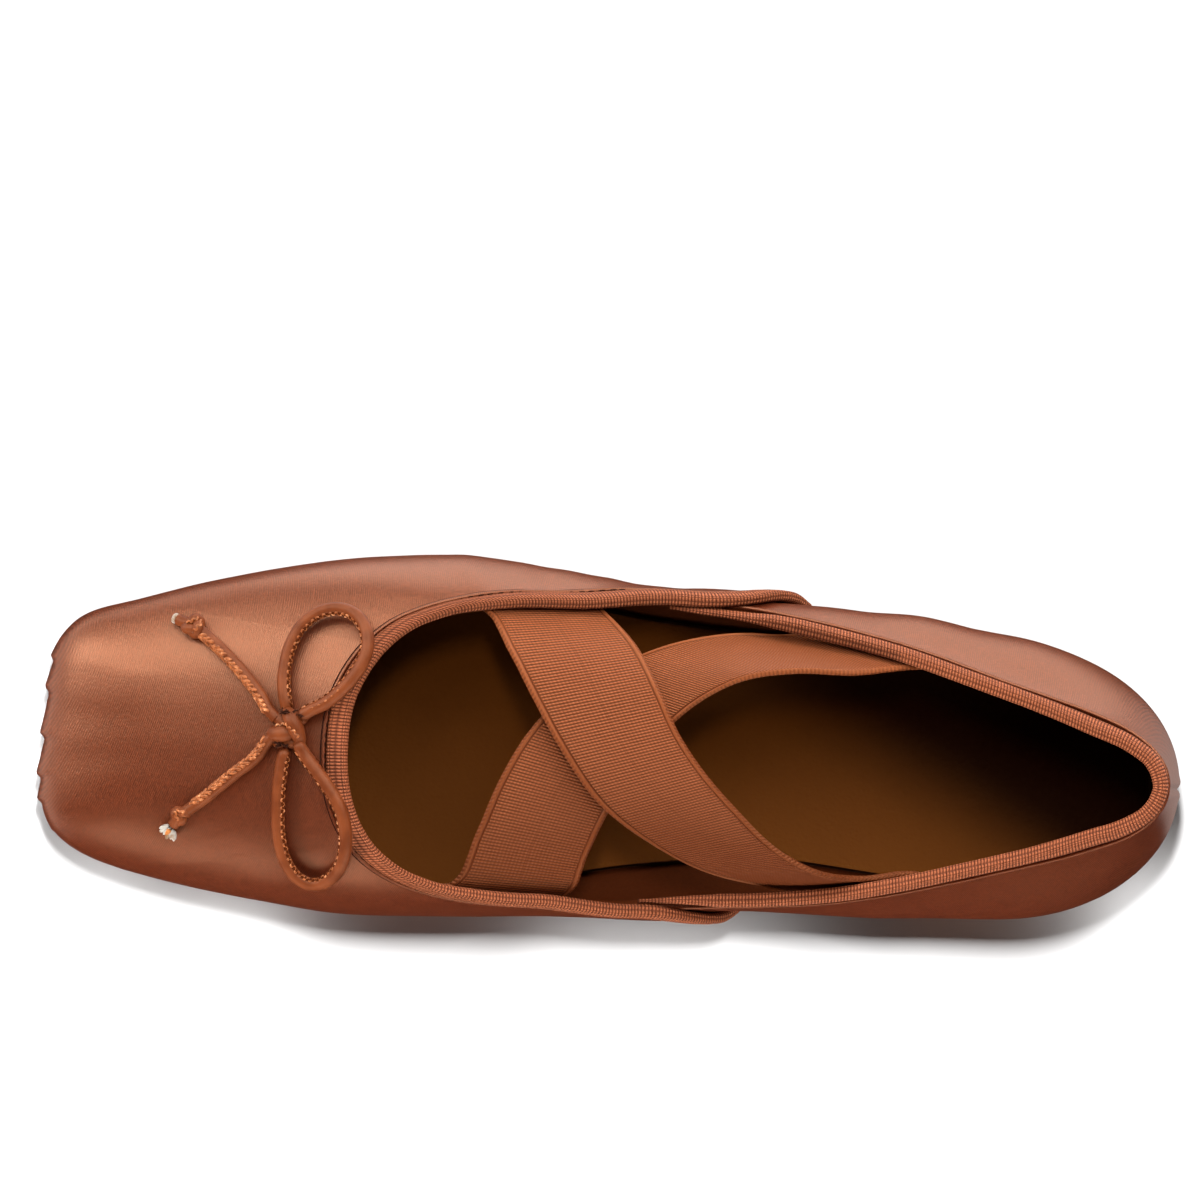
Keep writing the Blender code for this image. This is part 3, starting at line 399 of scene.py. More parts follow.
at, out = points_of(upper.data), normals_of(upper.data)
outer = np.zeros(len(at))
for face in upper.data.polygons:
    if face.material_index == 0:
        outer[list(face.vertices)] = 1.0
bearing = np.degrees(np.arctan2(at[:, 1] - GATHER_Y, GATHER_X - at[:, 0]))
lift = np.zeros(len(at))
for pleat in PLEATS:
    past = bearing - pleat.bearing
    slope = np.where(past >= 0, np.clip(1 - past / pleat.run, 0.0, 1.0) ** 1.3, ease(1 + past / PLEAT_FOLD))
    lift = np.maximum(lift, pleat.depth * slope * ease((pleat.top - at[:, 2]) / PLEAT_FADE))
lift *= ease((GATHER_X + 4.0 - at[:, 0]) / 8.0)
seam_off = np.abs(at[:, 1] - GATHER_Y)
lift -= 0.55 * np.exp(-((seam_off / 0.45) ** 2)) * ease((at[:, 0] - 112.0) / 4.0)
lift += 0.25 * np.exp(-(((seam_off - 1.6) / 0.9) ** 2)) * ease((at[:, 0] - 112.0) / 4.0)
for fold in FOLDS:
    start, run = np.array([fold.x0, fold.y0]), np.array([fold.x1 - fold.x0, fold.y1 - fold.y0])
    share = np.clip(((at[:, :2] - start) @ run) / (run @ run), 0.0, 1.0)
    off = np.linalg.norm(at[:, :2] - start - share[:, None] * run, axis=1)
    height = ease((at[:, 2] - fold.low) / 4.0) * ease((fold.high - at[:, 2]) / 4.0)
    swell = np.sin(math.pi * np.clip(share, 0.02, 0.98))
    lift += fold.rise * np.exp(-((off / fold.width) ** 2)) * height * swell
moved(upper.data, at + (lift * outer)[:, None] * out)
handed(upper, None, "upper", "upper")

# -----------------------------------------------------------------------------
# Tape: ribbed knit tape folded over the top line, one length round the vamp and down over the
# quarters, and one round the quarters. A fine piping is stitched along its lower edge.
# -----------------------------------------------------------------------------
Strip = namedtuple("Strip", "middle along across out half_width half_thick")


def rings_of(node, count, start):
    """A strip's cross-sections, count points each, in order from the end that lies nearest a place (mm)."""
    work = bmesh.new()
    work.from_mesh(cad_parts[node].data)
    bmesh.ops.remove_doubles(work, verts=work.verts, dist=0.02 * MM)
    ends = work.copy()
    bmesh.ops.dissolve_limit(ends, angle_limit=math.radians(0.5), verts=ends.verts, edges=ends.edges)
    caps = [f for f in ends.faces if len(f.verts) == count]
    cap = min(caps, key=lambda f: (f.calc_center_median() / MM - Vector(start)).length)
    corners = [v.co.copy() for v in cap.verts]
    ring = {v for v in work.verts if any((v.co - c).length < 0.01 * MM for c in corners)}
    rings, seen = [], set(ring)
    while ring:
        rings.append(np.array([v.co for v in ring]) / MM)
        ring = {e.other_vert(v) for v in ring for e in v.link_edges} - seen
        seen |= ring
    work.free()
    ends.free()
    return rings


def along(points):
    """Distance along a line of points, starting at 0."""
    return np.concatenate([[0.0], np.cumsum(np.linalg.norm(np.diff(points, axis=0), axis=1))])


def curve_through(points, at_run):
    """Points of a smooth curve through others, at these distances along them."""
    run = along(points)
    slope = np.gradient(points, run, axis=0)
    i = np.clip(np.searchsorted(run, at_run, side="right") - 1, 0, len(run) - 2)
    step = (run[i + 1] - run[i])[:, None]
    t = (at_run - run[i])[:, None] / step
    return (
        points[i] * (1 + 2 * t) * (1 - t) ** 2
        + points[i + 1] * t**2 * (3 - 2 * t)
        + step * (slope[i] * t * (1 - t) ** 2 - slope[i + 1] * t**2 * (1 - t))
    )


def unit(vectors):
    return vectors / np.linalg.norm(vectors, axis=-1, keepdims=True)


def strip_of(node, count, start, first_across, spacing):
    """A flat strip's middle line and its directions, at an even spacing (mm)."""
    rings = rings_of(node, count, start)
    middle = np.array([ring.mean(axis=0) for ring in rings])
    across, wide = [], []
    before = np.array(first_across, float)
    for ring in rings:
        spread = ring - ring.mean(axis=0)
        axis = np.linalg.svd(spread)[2][0]
        axis *= np.sign(axis @ before)
        across.append(axis)
        before = axis
        reach = spread @ axis
        wide.append((reach.max() - reach.min()) / 2)
    across = np.array(across)
    out = unit(np.cross(np.gradient(middle, axis=0), across))
    thick = np.array([np.ptp((ring - ring.mean(axis=0)) @ n) / 2 for ring, n in zip(rings, out)])
    run = along(middle)
    steps = max(2, round(run[-1] / spacing))
    at_run = np.linspace(0.0, run[-1], steps + 1)
    fine_middle = curve_through(middle, at_run)
    heading = unit(np.gradient(fine_middle, axis=0))
    fine_across = np.stack([np.interp(at_run, run, across[:, k]) for k in range(3)], axis=1)
    fine_across = unit(fine_across)
    fine_out = unit(np.cross(heading, fine_across))
    return Strip(
        fine_middle, heading, fine_across, fine_out,
        np.interp(at_run, run, wide), np.interp(at_run, run, thick),
    )


def swept(name, strip, profile, caps=True):
    """A grid bent round a closed profile and along a strip. The profile gives (across, out) in mm for each
    place; the piece's UV map holds metres along the strip and round the profile."""
    rows, size = len(strip.middle), profile.shape[1]
    bpy.ops.mesh.primitive_grid_add(x_subdivisions=rows - 1, y_subdivisions=size, size=1.0)
    piece = bpy.context.object
    piece.name = piece.data.name = name
    grid = points_of(piece.data) * MM + 0.5
    row = np.rint(grid[:, 0] * (rows - 1)).astype(int)
    column = np.rint(grid[:, 1] * size).astype(int) % size
    a, b = profile[row, column, 0], profile[row, column, 1]
    moved(
        piece.data,
        strip.middle[row] + a[:, None] * strip.across[row] + b[:, None] * strip.out[row],
    )
    length = along(strip.middle)[-1]
    middle = profile[rows // 2]
    round_run = along(np.concatenate([middle, middle[:1]]))[-1]
    layer = piece.data.uv_layers.active.data
    uv = np.empty(len(layer) * 2)
    layer.foreach_get("uv", uv)
    uv = uv.reshape(-1, 2) * (length * MM, round_run * MM)
    layer.foreach_set("uv", uv.ravel())
    only(piece)
    bpy.ops.object.mode_set(mode="EDIT")
    bpy.ops.mesh.select_all(action="SELECT")
    bpy.ops.mesh.remove_doubles(threshold=0.005 * MM)
    if caps:
        bpy.ops.mesh.select_all(action="DESELECT")
        bpy.ops.mesh.select_mode(type="VERT")
        bpy.ops.mesh.select_non_manifold()
        bpy.ops.mesh.fill_holes(sides=0)
    bpy.ops.mesh.select_all(action="SELECT")
    bpy.ops.mesh.normals_make_consistent(inside=False)
    bpy.ops.object.mode_set(mode="OBJECT")
    bpy.ops.object.shade_smooth_by_angle(angle=math.radians(50))
    return piece


KNIT_RIB = 0.74  # mm from one rib to the next along the tape
KNIT_COLUMN = 0.82  # mm from one column of loops to the next across it
knit, tree, surface = new_material("knit tape", (0.20, 0.050, 0.016), 0.75, Specular_IOR_Level=0.15)
uv = add(tree, "UVMap").outputs[0]
axes = add(tree, "SeparateXYZ", {0: uv}).outputs
column_turn = calc(tree, "MULTIPLY", axes[1], math.pi / (KNIT_COLUMN * MM))
column_rise = calc(tree, "ABSOLUTE", calc(tree, "SINE", column_turn))
lean = calc(tree, "MULTIPLY", column_rise, 0.7)
rib_turn = calc(tree, "ADD", calc(tree, "MULTIPLY", axes[0], 2 * math.pi / (KNIT_RIB * MM)), lean)
rib_rise = calc(tree, "MULTIPLY_ADD", calc(tree, "SINE", rib_turn), 0.5, 0.5)
loop = calc(tree, "MULTIPLY", rib_rise, calc(tree, "MULTIPLY_ADD", column_rise, 0.90, 0.10))
place = add(tree, "TexCoord").outputs["Object"]
fuzz = add(tree, "TexNoise", {"Vector": place, "Scale": 2600.0, "Detail": 2.0}).outputs["Fac"]
fuzzy = calc(tree, "ADD", loop, calc(tree, "MULTIPLY", fuzz, 0.35))
tone = add(tree, "MapRange", {"Value": fuzzy, 1: 0.12, 2: 0.90})
shade = blended(tree, tone.outputs[0], (0.034, 0.0062, 0.0018), (0.240, 0.0700, 0.0285))
tree.links.new(shade, surface.inputs["Base Color"])
bumped(tree, surface, loop, 0.20)

TAPE_STEP = 0.8


def tape_profile(strip, size=40):
    """A folded tape's section: full and round at the fold, flatter at its lower edge, in shallow columns."""
    turn = np.linspace(0.0, 2 * math.pi, size, endpoint=False)
    power = 0.55
    a = np.sign(np.cos(turn)) * np.abs(np.cos(turn)) ** power
    b = np.sign(np.sin(turn)) * np.abs(np.sin(turn)) ** power
    columns = 1 + 0.045 * np.cos(2 * math.pi * a * strip.half_width[:, None] / KNIT_COLUMN)
    taper = 1 - 0.10 * a
    return np.stack(
        [a * strip.half_width[:, None], b * taper * columns * strip.half_thick[:, None] * 1.04], axis=2
    )


def trimmed(strip, off):
    """A tape made narrower at its lower edge."""
    return strip._replace(middle=strip.middle - off / 2 * strip.across, half_width=strip.half_width - off / 2)


def pointed(strip, lead, taper):
    """A tape carried on a little before its start, and narrowed at both ends."""
    steps = round(lead / TAPE_STEP)
    before = strip.middle[0] - np.arange(steps, 0, -1)[:, None] * TAPE_STEP * strip.along[0]
    first = [np.concatenate([np.repeat(part[:1], steps, axis=0), part]) for part in strip[1:]]
    middle = np.concatenate([before, strip.middle])
    run = along(middle)
    full = ease(np.minimum(run, run[-1] - run) / taper)
    return Strip(middle, *first[:3], first[3] * (0.35 + 0.65 * full), first[4] * (0.6 + 0.4 * full))


HEEL_LEAN = 0.32  # mm inwards for each mm above the tape's lower edge, round the back of the heel


def leant(points, strip):
    """Places near the tape, moved inwards round the heel by how high they lie above its lower edge."""
    near = np.argmin(((points[:, None] - strip.middle[None]) ** 2).sum(axis=2), axis=1)
    above = ((strip.middle[near] - points) * strip.across[near]).sum(axis=1) + strip.half_width[near]
    close = np.linalg.norm(points - strip.middle[near], axis=1) < 6.0
    share = HEEL_LEAN * ease((points[:, 0] - 90.0) / 18.0) * np.clip(above, 0.0, None) * close
    return points - share[:, None] * strip.out[near]


vamp_strip = strip_of("vamp_binding", 8, (31.2, -31.1, 10.3), (-1.0, 0.0, -0.2), TAPE_STEP)
quarter_strip = strip_of("quarter_binding", 8, (16.7, 30.1, 29.2), (0.0, 0.3, -1.0), TAPE_STEP)
quarter_strip = trimmed(quarter_strip, 0.8)
at = points_of(upper.data)
behind = at[:, 0] > 90.0
at[behind] = leant(at[behind], quarter_strip)
moved(upper.data, at)
lower_edge = quarter_strip.middle + quarter_strip.half_width[:, None] * quarter_strip.across
middle = leant(quarter_strip.middle, quarter_strip)
across = unit(lower_edge - middle)
out = unit(np.cross(quarter_strip.along, across))
quarter_strip = quarter_strip._replace(middle=middle, across=across, out=out)
quarter_strip = pointed(quarter_strip, 4.8, 9.0)
vamp_tape = swept("vamp_tape", vamp_strip, tape_profile(vamp_strip))
handed(vamp_tape, knit, "vamp_binding", "vamp_binding")
quarter_tape = swept("quarter_tape", quarter_strip, tape_profile(quarter_strip))
handed(quarter_tape, knit, "quarter_binding", "quarter_binding")

thread, tree, surface = new_material("dark thread", (0.018, 0.005, 0.002), 0.8, Specular_IOR_Level=0.1)
place = add(tree, "TexCoord").outputs["Object"]
ply = add(tree, "TexWave", {"Vector": place, "Scale": 900.0, "Distortion": 2.0}).outputs["Fac"]
shade = blended(tree, ply, (0.008, 0.0022, 0.0010), (0.032, 0.0088, 0.0040))
tree.links.new(shade, surface.inputs["Base Color"])
bumped(tree, surface, ply, 0.05)

satin_skin = BVHTree.FromObject(upper, bpy.context.evaluated_depsgraph_get())


def round_strip(line, thickness, spacing=0.6, out=(0.0, 0.0, 1.0)):
    """A round cord's middle line at an even spacing, its directions carried along it without a twist."""
    line = np.array(line, float)
    run = along(line)
    at_run = np.linspace(0.0, run[-1], max(4, round(run[-1] / spacing)) + 1)
    middle = curve_through(line, at_run)
    heading = unit(np.gradient(middle, axis=0))
    outs = []
    for ahead in heading:
        out = unit(np.array(out) - (ahead @ out) * ahead)
        outs.append(out)
    outs = np.array(outs)
    half = np.interp(at_run, np.linspace(0.0, run[-1], np.size(thickness)), np.atleast_1d(thickness)) / 2
    return Strip(middle, heading, np.cross(outs, heading), outs, half, half)


def round_profile(strip, size, blunt=1.0):
    """Rings round a cord, closed over its ends. Blunt is how long each rounded end is, in half widths."""
    run = along(strip.middle)
    from_end = np.minimum(run, run[-1] - run) / (strip.half_width * blunt)
    radius = strip.half_width * np.sqrt(np.clip(1 - (1 - np.clip(from_end, 0.0, 1.0)) ** 2, 0.02, 1.0))
    turn = np.linspace(0.0, 2 * math.pi, size, endpoint=False)
    return radius[:, None, None] * np.stack([np.cos(turn), np.sin(turn)], axis=1)[None]


def copies(name, shape, places, axes):
    """One mesh of many copies of a small shape, each turned to three axes (its sizes in their lengths)."""
    points, faces = shape
    rows = [np.asarray(place) + points @ np.asarray(axis) for place, axis in zip(places, axes)]
    corners = [tuple(i + len(points) * n for i in face) for n in range(len(rows)) for face in faces]
    mesh = bpy.data.meshes.new(name)
    mesh.from_pydata((np.concatenate(rows) * MM).tolist(), [], corners)
    piece = bpy.data.objects.new(name, mesh)
    bpy.context.scene.collection.objects.link(piece)
    only(piece)
    bpy.ops.object.mode_set(mode="EDIT")
    bpy.ops.mesh.select_all(action="SELECT")
    bpy.ops.mesh.normals_make_consistent(inside=False)
    bpy.ops.object.mode_set(mode="OBJECT")
    bpy.ops.object.shade_smooth()
    return piece


def pattern_shape(scale):
    """The points and faces of a small rounded lump, longest along its first axis."""
    bpy.ops.object.select_all(action="DESELECT")
    along_x = (0.0, math.pi / 2, 0.0)
    bpy.ops.mesh.primitive_uv_sphere_add(segments=6, ring_count=4, radius=1.0, rotation=along_x)
    bpy.ops.object.transform_apply(rotation=True)
    lump = bpy.context.object
    points = np.array([v.co for v in lump.data.vertices]) * scale
    faces = sorted(tuple(face.vertices) for face in lump.data.polygons)  # the operator shuffles them
    bpy.data.objects.remove(lump)
    return points, faces


LUMP = pattern_shape((1.0, 1.0, 1.0))


PIPING_THICK = 0.95
SEAM_THICK = 0.55
STITCH_PITCH = 2.3
Edge = namedtuple("Edge", "name strip piping line stitches")  # mm beyond the tape's lower edge
EDGES = [
    Edge("vamp", vamp_strip, 0.72, 1.22, 0.12),
    Edge("quarter", quarter_strip, 0.48, 1.10, None),
]


def edge_line(strip, clear, sink):
    """A line on the satin beside a tape's lower edge, sunk into it by a distance, less so round the heel."""
    line = []
    rows = zip(strip.middle, strip.across, strip.out, strip.half_width, strip.half_thick)
    for middle, across, out, half, thick in rows:
        beside_edge = Vector((middle + (half + clear) * across + 1.6 * thick * out) * MM)
        spot, normal = satin_skin.find_nearest(beside_edge)[:2]
        raised = 0.35 * float(ease((middle[0] - 90.0) / 18.0))
        line.append(np.array(spot / MM - (sink - raised) * normal))
    line = np.array(line)
    padded = np.concatenate([line[:1]] * 4 + [line] + [line[-1:]] * 4)
    return sum(padded[k : k + len(line)] for k in range(9)) / 9


for edge in EDGES:
    node = edge.name + "_binding"
    piping = round_strip(edge_line(edge.strip, edge.piping, 0.12)[2:-2], PIPING_THICK, spacing=0.8)
    handed(swept(edge.name + "_piping", piping, round_profile(piping, 10)), satin, node)
    # Beyond the piping a continuous dark line is sunk into the satin: painted shade standing for the groove
    # there.
    line = round_strip(edge_line(edge.strip, edge.line, 0.04)[2:-2], SEAM_THICK, spacing=0.8)
    handed(swept(edge.name + "_seam", line, round_profile(line, 6)), thread, node)
    if edge.stitches is None:
        continue
    groove = round_strip(edge_line(edge.strip, edge.stitches, -0.05)[2:-2], 0.3, spacing=0.5)
    run = along(groove.middle)
    stitches = [int(np.searchsorted(run, s)) for s in np.arange(1.0, run[-1] - 1.0, STITCH_PITCH)]
    axes = [(0.80 * groove.along[i], 0.22 * groove.across[i], 0.20 * groove.out[i]) for i in stitches]
    handed(copies(edge.name + "_stitches", LUMP, groove.middle[stitches], axes), thread, node)

# -----------------------------------------------------------------------------
# Straps: two lengths of 25 mm ribbed elastic with rolled selvedges, crossed over the opening and stitched
# inside the upper. Their colour holds some of the shade towards the inner side.
# -----------------------------------------------------------------------------
ELASTIC_RIB = 0.70  # mm from one rib to the next along the strap
ELASTIC_YARN = 0.78  # mm from one yarn to the next across it
SELVEDGE = 1.35
WHIP_PITCH = 0.95
elastic, tree, surface = new_material("elastic", (0.10, 0.025, 0.008), 0.50, Specular_IOR_Level=0.6)
surface.inputs["Specular Tint"].default_value = (1.0, 0.45, 0.22, 1.0)
uv = add(tree, "UVMap").outputs[0]
axes = add(tree, "SeparateXYZ", {0: uv}).outputs
length_on, from_edge = axes[0], axes[1]


def wave(tree, value, pitch):
    """Rises and falls between 0 and 1 once in every pitch (mm)."""
    turn = calc(tree, "MULTIPLY", value, 2 * math.pi / (pitch * MM))
    return calc(tree, "MULTIPLY_ADD", calc(tree, "SINE", turn), 0.5, 0.5)


rib_rise = wave(tree, length_on, ELASTIC_RIB)
yarn_rise = wave(tree, from_edge, ELASTIC_YARN)
weave = calc(tree, "MULTIPLY", rib_rise, calc(tree, "MULTIPLY_ADD", yarn_rise, 0.45, 0.55))
whip_rise = wave(tree, calc(tree, "MULTIPLY_ADD", from_edge, 0.6, length_on), WHIP_PITCH)
between_edges = {"Value": from_edge, 1: (SELVEDGE + 0.15) * MM, 2: (SELVEDGE + 0.4) * MM}
field = add(tree, "MapRange", between_edges).outputs[0]
rim = add(tree, "MapRange", {"Value": from_edge, 1: 0.75 * MM, 2: 0.45 * MM}).outputs[0]
off_groove = calc(tree, "ABSOLUTE", calc(tree, "SUBTRACT", from_edge, SELVEDGE * MM))
groove = add(tree, "MapRange", {"Value": off_groove, 1: 0.24 * MM, 2: 0.06 * MM}).outputs[0]
place = add(tree, "TexCoord").outputs["Object"]
fuzz = add(tree, "TexNoise", {"Vector": place, "Scale": 2600.0, "Detail": 2.0}).outputs["Fac"]
tone = add(tree, "MapRange", {"Value": calc(tree, "MULTIPLY_ADD", fuzz, 0.3, weave), 1: 0.12, 2: 0.95})
cloth = blended(tree, tone.outputs[0], (0.013, 0.0022, 0.0006), (0.225, 0.0600, 0.0210))
edge = blended(tree, fuzz, (0.112, 0.0275, 0.0084), (0.165, 0.0440, 0.0142))
whip = calc(tree, "MULTIPLY", calc(tree, "SUBTRACT", 1.0, whip_rise), calc(tree, "MULTIPLY", rim, 0.6))
edge = blended(tree, whip, edge, (0.038, 0.0070, 0.0018))
shade = blended(tree, field, edge, cloth)
shade = blended(tree, calc(tree, "MULTIPLY", groove, 0.85), shade, (0.040, 0.0075, 0.0020))
across_shoe = add(tree, "SeparateXYZ", {0: place}).outputs[1]
shaded = add(tree, "MapRange", {"Value": across_shoe, 1: 0.020, 2: -0.020, 3: 0.0, 4: 0.62}).outputs[0]
shade = blended(tree, shaded, shade, (0.034, 0.0056, 0.0012))
tree.links.new(shade, surface.inputs["Base Color"])
whipping = calc(tree, "MULTIPLY", calc(tree, "MULTIPLY", whip_rise, rim), 0.6)
bumped(tree, surface, calc(tree, "MULTIPLY_ADD", weave, field, whipping), 0.17)

STRAP_HALF = 12.5
STRAP_PLACES = np.concatenate([np.linspace(0.0, 2.4, 13), np.linspace(2.4, 10.0, 7)[1:], [STRAP_HALF]])


def strap(name, node, start, first_across):
    """A strap as a grid along the frame's strip: both faces, each with its rolled edges and grooves."""
    strip = strip_of(node, 6, start, first_across, 0.8)
    width = 2 * STRAP_HALF
    from_side = np.concatenate([STRAP_PLACES, width - STRAP_PLACES[-2::-1]])
    nearer = np.minimum(from_side, width - from_side)
    roll = 0.30 * np.exp(-(((nearer - 0.70) / 0.5) ** 2))
    dip = 0.20 * np.exp(-(((nearer - SELVEDGE) / 0.2) ** 2))
    thick = (0.42 + roll - dip) * np.sqrt(np.clip(nearer / 0.7, 0.0, 1.0))
    face = np.stack([from_side / STRAP_HALF - 1, thick], axis=1)
    shape = np.concatenate([face, (face * (1, -1))[-2:0:-1]])
    sideways = shape[:, 0] * strip.half_width[:, None]
    profile = np.stack([sideways, np.repeat(shape[None, :, 1], len(strip.middle), 0)], axis=2)
    piece = swept(name, strip, profile)
    middle = profile[len(profile) // 2]
    round_run = along(np.concatenate([middle, middle[:1]]))[-1] * MM
    for corner in piece.data.uv_layers.active.data:
        column = round(corner.uv.y / round_run * len(shape)) % len(shape)
        corner.uv.y = (1 - abs(shape[column, 0])) * STRAP_HALF * MM
    return piece


strap_over = strap("strap_over_foot", "strap_over", (-22.8, 31.3, 28.5), (1.0, 0.0, 0.0))
handed(strap_over, elastic, "strap_over", "strap_over")
strap_under = strap("strap_under_foot", "strap_under", (65.8, 24.2, 30.8), (1.0, 0.0, 0.0))
handed(strap_under, elastic, "strap_under", "strap_under")

# -----------------------------------------------------------------------------
# Bow: round leather cord with a whipped seam along one side, tied in a small hard knot over the throat
# and tacked down with dark thread. Each tail is plaited on one side and ends in a knot of its own.
# -----------------------------------------------------------------------------
CORD_THICK = 2.9
TIP_THICK = 2.6  # beyond its own knot a tail is pulled a little thinner
KNOT_PLACE = (-70.0, -0.4)

cord_leather, tree, surface = new_material(
    "cord leather", (0.170, 0.040, 0.011), 0.46, Specular_IOR_Level=0.4
)
surface.inputs["Specular Tint"].default_value = (1.0, 0.62, 0.42, 1.0)
place = add(tree, "TexCoord").outputs["Object"]
grain = add(tree, "TexNoise", {"Vector": place, "Scale": 1300.0, "Detail": 4.0}).outputs["Fac"]
patch = add(tree, "TexNoise", {"Vector": place, "Scale": 260.0, "Detail": 2.0}).outputs["Fac"]
patchy = add(tree, "MapRange", {"Value": patch, 1: 0.35, 2: 0.65}).outputs[0]
shade = blended(tree, patchy, (0.067, 0.0136, 0.0034), (0.102, 0.0238, 0.0068))
tree.links.new(shade, surface.inputs["Base Color"])
bumped(tree, surface, calc(tree, "MULTIPLY_ADD", patch, 0.8, grain), 0.04)

# Plaited leather for the cord's seams and plaits. Its brightest flecks are painted glints: highlights put
# into the colour itself.
plait_leather, tree, surface = new_material(
    "plaited leather", (0.24, 0.075, 0.022), 0.38, Specular_IOR_Level=0.6
)
surface.inputs["Specular Tint"].default_value = (1.0, 0.72, 0.45, 1.0)
place = add(tree, "TexCoord").outputs["Object"]
fleck = add(tree, "TexNoise", {"Vector": place, "Scale": 1100.0, "Detail": 1.0}).outputs["Fac"]
painted_glint = add(tree, "MapRange", {"Value": fleck, 1: 0.62, 2: 0.74}).outputs[0]
dull = add(tree, "MapRange", {"Value": fleck, 1: 0.30, 2: 0.56}).outputs[0]
shade = blended(tree, dull, (0.085, 0.0170, 0.0045), (0.205, 0.0580, 0.0180))
tree.links.new(blended(tree, painted_glint, shade, (0.42, 0.180, 0.080)), surface.inputs["Base Color"])
bumped(tree, surface, fleck, 0.08)

raw_end, tree, surface = new_material("raw cord end", (0.62, 0.57, 0.51), 0.45, Specular_IOR_Level=0.5)
place = add(tree, "TexCoord").outputs["Object"]
fleck = add(tree, "TexNoise", {"Vector": place, "Scale": 420.0, "Detail": 3.0}).outputs["Fac"]
stain = add(tree, "MapRange", {"Value": fleck, 1: 0.50, 2: 0.62}).outputs[0]
tree.links.new(blended(tree, stain, (0.25, 0.225, 0.195), (0.14, 0.078, 0.038)), surface.inputs["Base Color"])
bumped(tree, surface, fleck, 0.15)

stained, tree, surface = new_material("stained cord core", (0.50, 0.17, 0.02), 0.5)
place = add(tree, "TexCoord").outputs["Object"]
fleck = add(tree, "TexNoise", {"Vector": place, "Scale": 900.0, "Detail": 2.0}).outputs["Fac"]
tree.links.new(blended(tree, fleck, (0.13, 0.036, 0.007), (0.36, 0.125, 0.026)), surface.inputs["Base Color"])
bumped(tree, surface, fleck, 0.1)


def laid(x, y, above):
    """A place a distance above the satin over a point of the plan, and the satin's normal there."""
    spot, normal = Vector((x, y, 0.0)), Vector((0.0, 0.0, 1.0))
    for _ in range(3):
        start = Vector((spot.x - above * normal.x, spot.y - above * normal.y, 200.0))
        hit, normal = satin_skin.ray_cast(start * MM, Vector((0.0, 0.0, -1.0)))[:2]
    return np.array(hit / MM + above * normal), np.array(normal)


def plait(name, strip, turn, start, end, pitch=1.35):
    """Two rows of slanting lumps along a cord's side, like the strands of a plait."""
    run = along(strip.middle)
    places, axes = [], []
    for row in (-1, 1):
        for s in np.arange(start + (row + 1) * pitch / 4, end, pitch):
            i = int(np.searchsorted(run, s))
            angle = turn + row * 0.34
            skin = math.cos(angle) * strip.out[i] + math.sin(angle) * strip.across[i]
            side = np.cross(skin, strip.along[i])
            lean = unit(strip.along[i] - row * 0.62 * side)
            places.append(strip.middle[i] + (strip.half_width[i] - 0.05) * skin)
            axes.append(np.array([1.12 * lean, 0.50 * np.cross(skin, lean), 0.44 * skin]))
    return copies(name, LUMP, places, axes)


def whipped(name, strip, turn, step=0.85, swing=0.33, thick=0.46):
    """A thread that runs in a zigzag along a cord's side."""
    run = along(strip.middle)
    places = np.arange(1.0, run[-1] - 1.0, step)
    corners = []
    for n, s in enumerate(places):
        i = int(np.searchsorted(run, s))
        angle = turn + (swing if n % 2 else -swing)
        reach = strip.half_width[i] + 0.04
        outwards = math.cos(angle) * strip.out[i] + math.sin(angle) * strip.across[i]
        corners.append(strip.middle[i] + reach * outwards)
    seam = round_strip(corners, thick, spacing=0.25)
    return swept(name, seam, round_profile(seam, 6))


def gutter(name, strip, turn, thick=1.15, deep=0.36):
    """A dark strip along a cord's side, under its seam: painted shade standing for the channel the seam lies
    in.
    """
    side = np.cos(turn) * strip.out + np.sin(turn) * strip.across
    line = round_strip((strip.middle + (strip.half_width[:, None] - deep) * side)[1:-1], thick, spacing=0.8)
    return swept(name, line, round_profile(line, 6))


def ring_middles(node, start):
    return [ring.mean(axis=0) for ring in rings_of(node, 8, start)]


Loop = namedtuple("Loop", "name node seam start first last turn stitches")  # stitches: mm from its end
LOOPS = [
    Loop("loop_cord_outer", "bow_loop_outer", "loop_seam_outer", (-71.2, 5.4, 40.0),
         (-70.6, 3.4, 40.6), (-68.3, 2.2, 42.9), -0.85, (4.4, 6.2, 8.0, 9.8, 11.6)),
    Loop("loop_cord_inner", "bow_loop_inner", "loop_seam_inner", (-71.3, -7.0, 41.1),
         (-70.6, -4.6, 41.6), (-68.5, -3.0, 43.0), 0.85, ()),
]
for loop in LOOPS:
    line = [loop.first] + ring_middles(loop.node, loop.start) + [loop.last]
    strip = round_strip(line, CORD_THICK)
    cord = swept(loop.name, strip, round_profile(strip, 16))
    handed(cord, cord_leather, loop.node, loop.node)
    seam = handed(whipped(loop.seam, strip, loop.turn), plait_leather, loop.node)
    # the channel's dark strip is painted shade, given the lining's colour
    channel = handed(gutter(loop.seam.replace("seam", "gutter"), strip, loop.turn), lining, loop.node)
    length = along(strip.middle)[-1]
    if loop.stitches:
        spots = [int(np.searchsorted(along(strip.middle), length - s)) for s in loop.stitches]
        skin = [0.92 * strip.out[i] + 0.39 * strip.across[i] for i in spots]
        axes = []
        for i, n in zip(spots, skin):
            axes.append((0.34 * strip.along[i], 0.24 * np.cross(n, strip.along[i]), 0.16 * n))
        places = [strip.middle[i] + strip.half_width[i] * n for i, n in zip(spots, skin)]
        handed(copies("loop_stitches", LUMP, places, axes), plait_leather, loop.node)


def joined(name, parts):
    bpy.ops.object.select_all(action="DESELECT")
    for part in parts:
        part.select_set(True)
    bpy.context.view_layer.objects.active = parts[0]
    bpy.ops.object.join()
    parts[0].name = parts[0].data.name = name
    return parts[0]


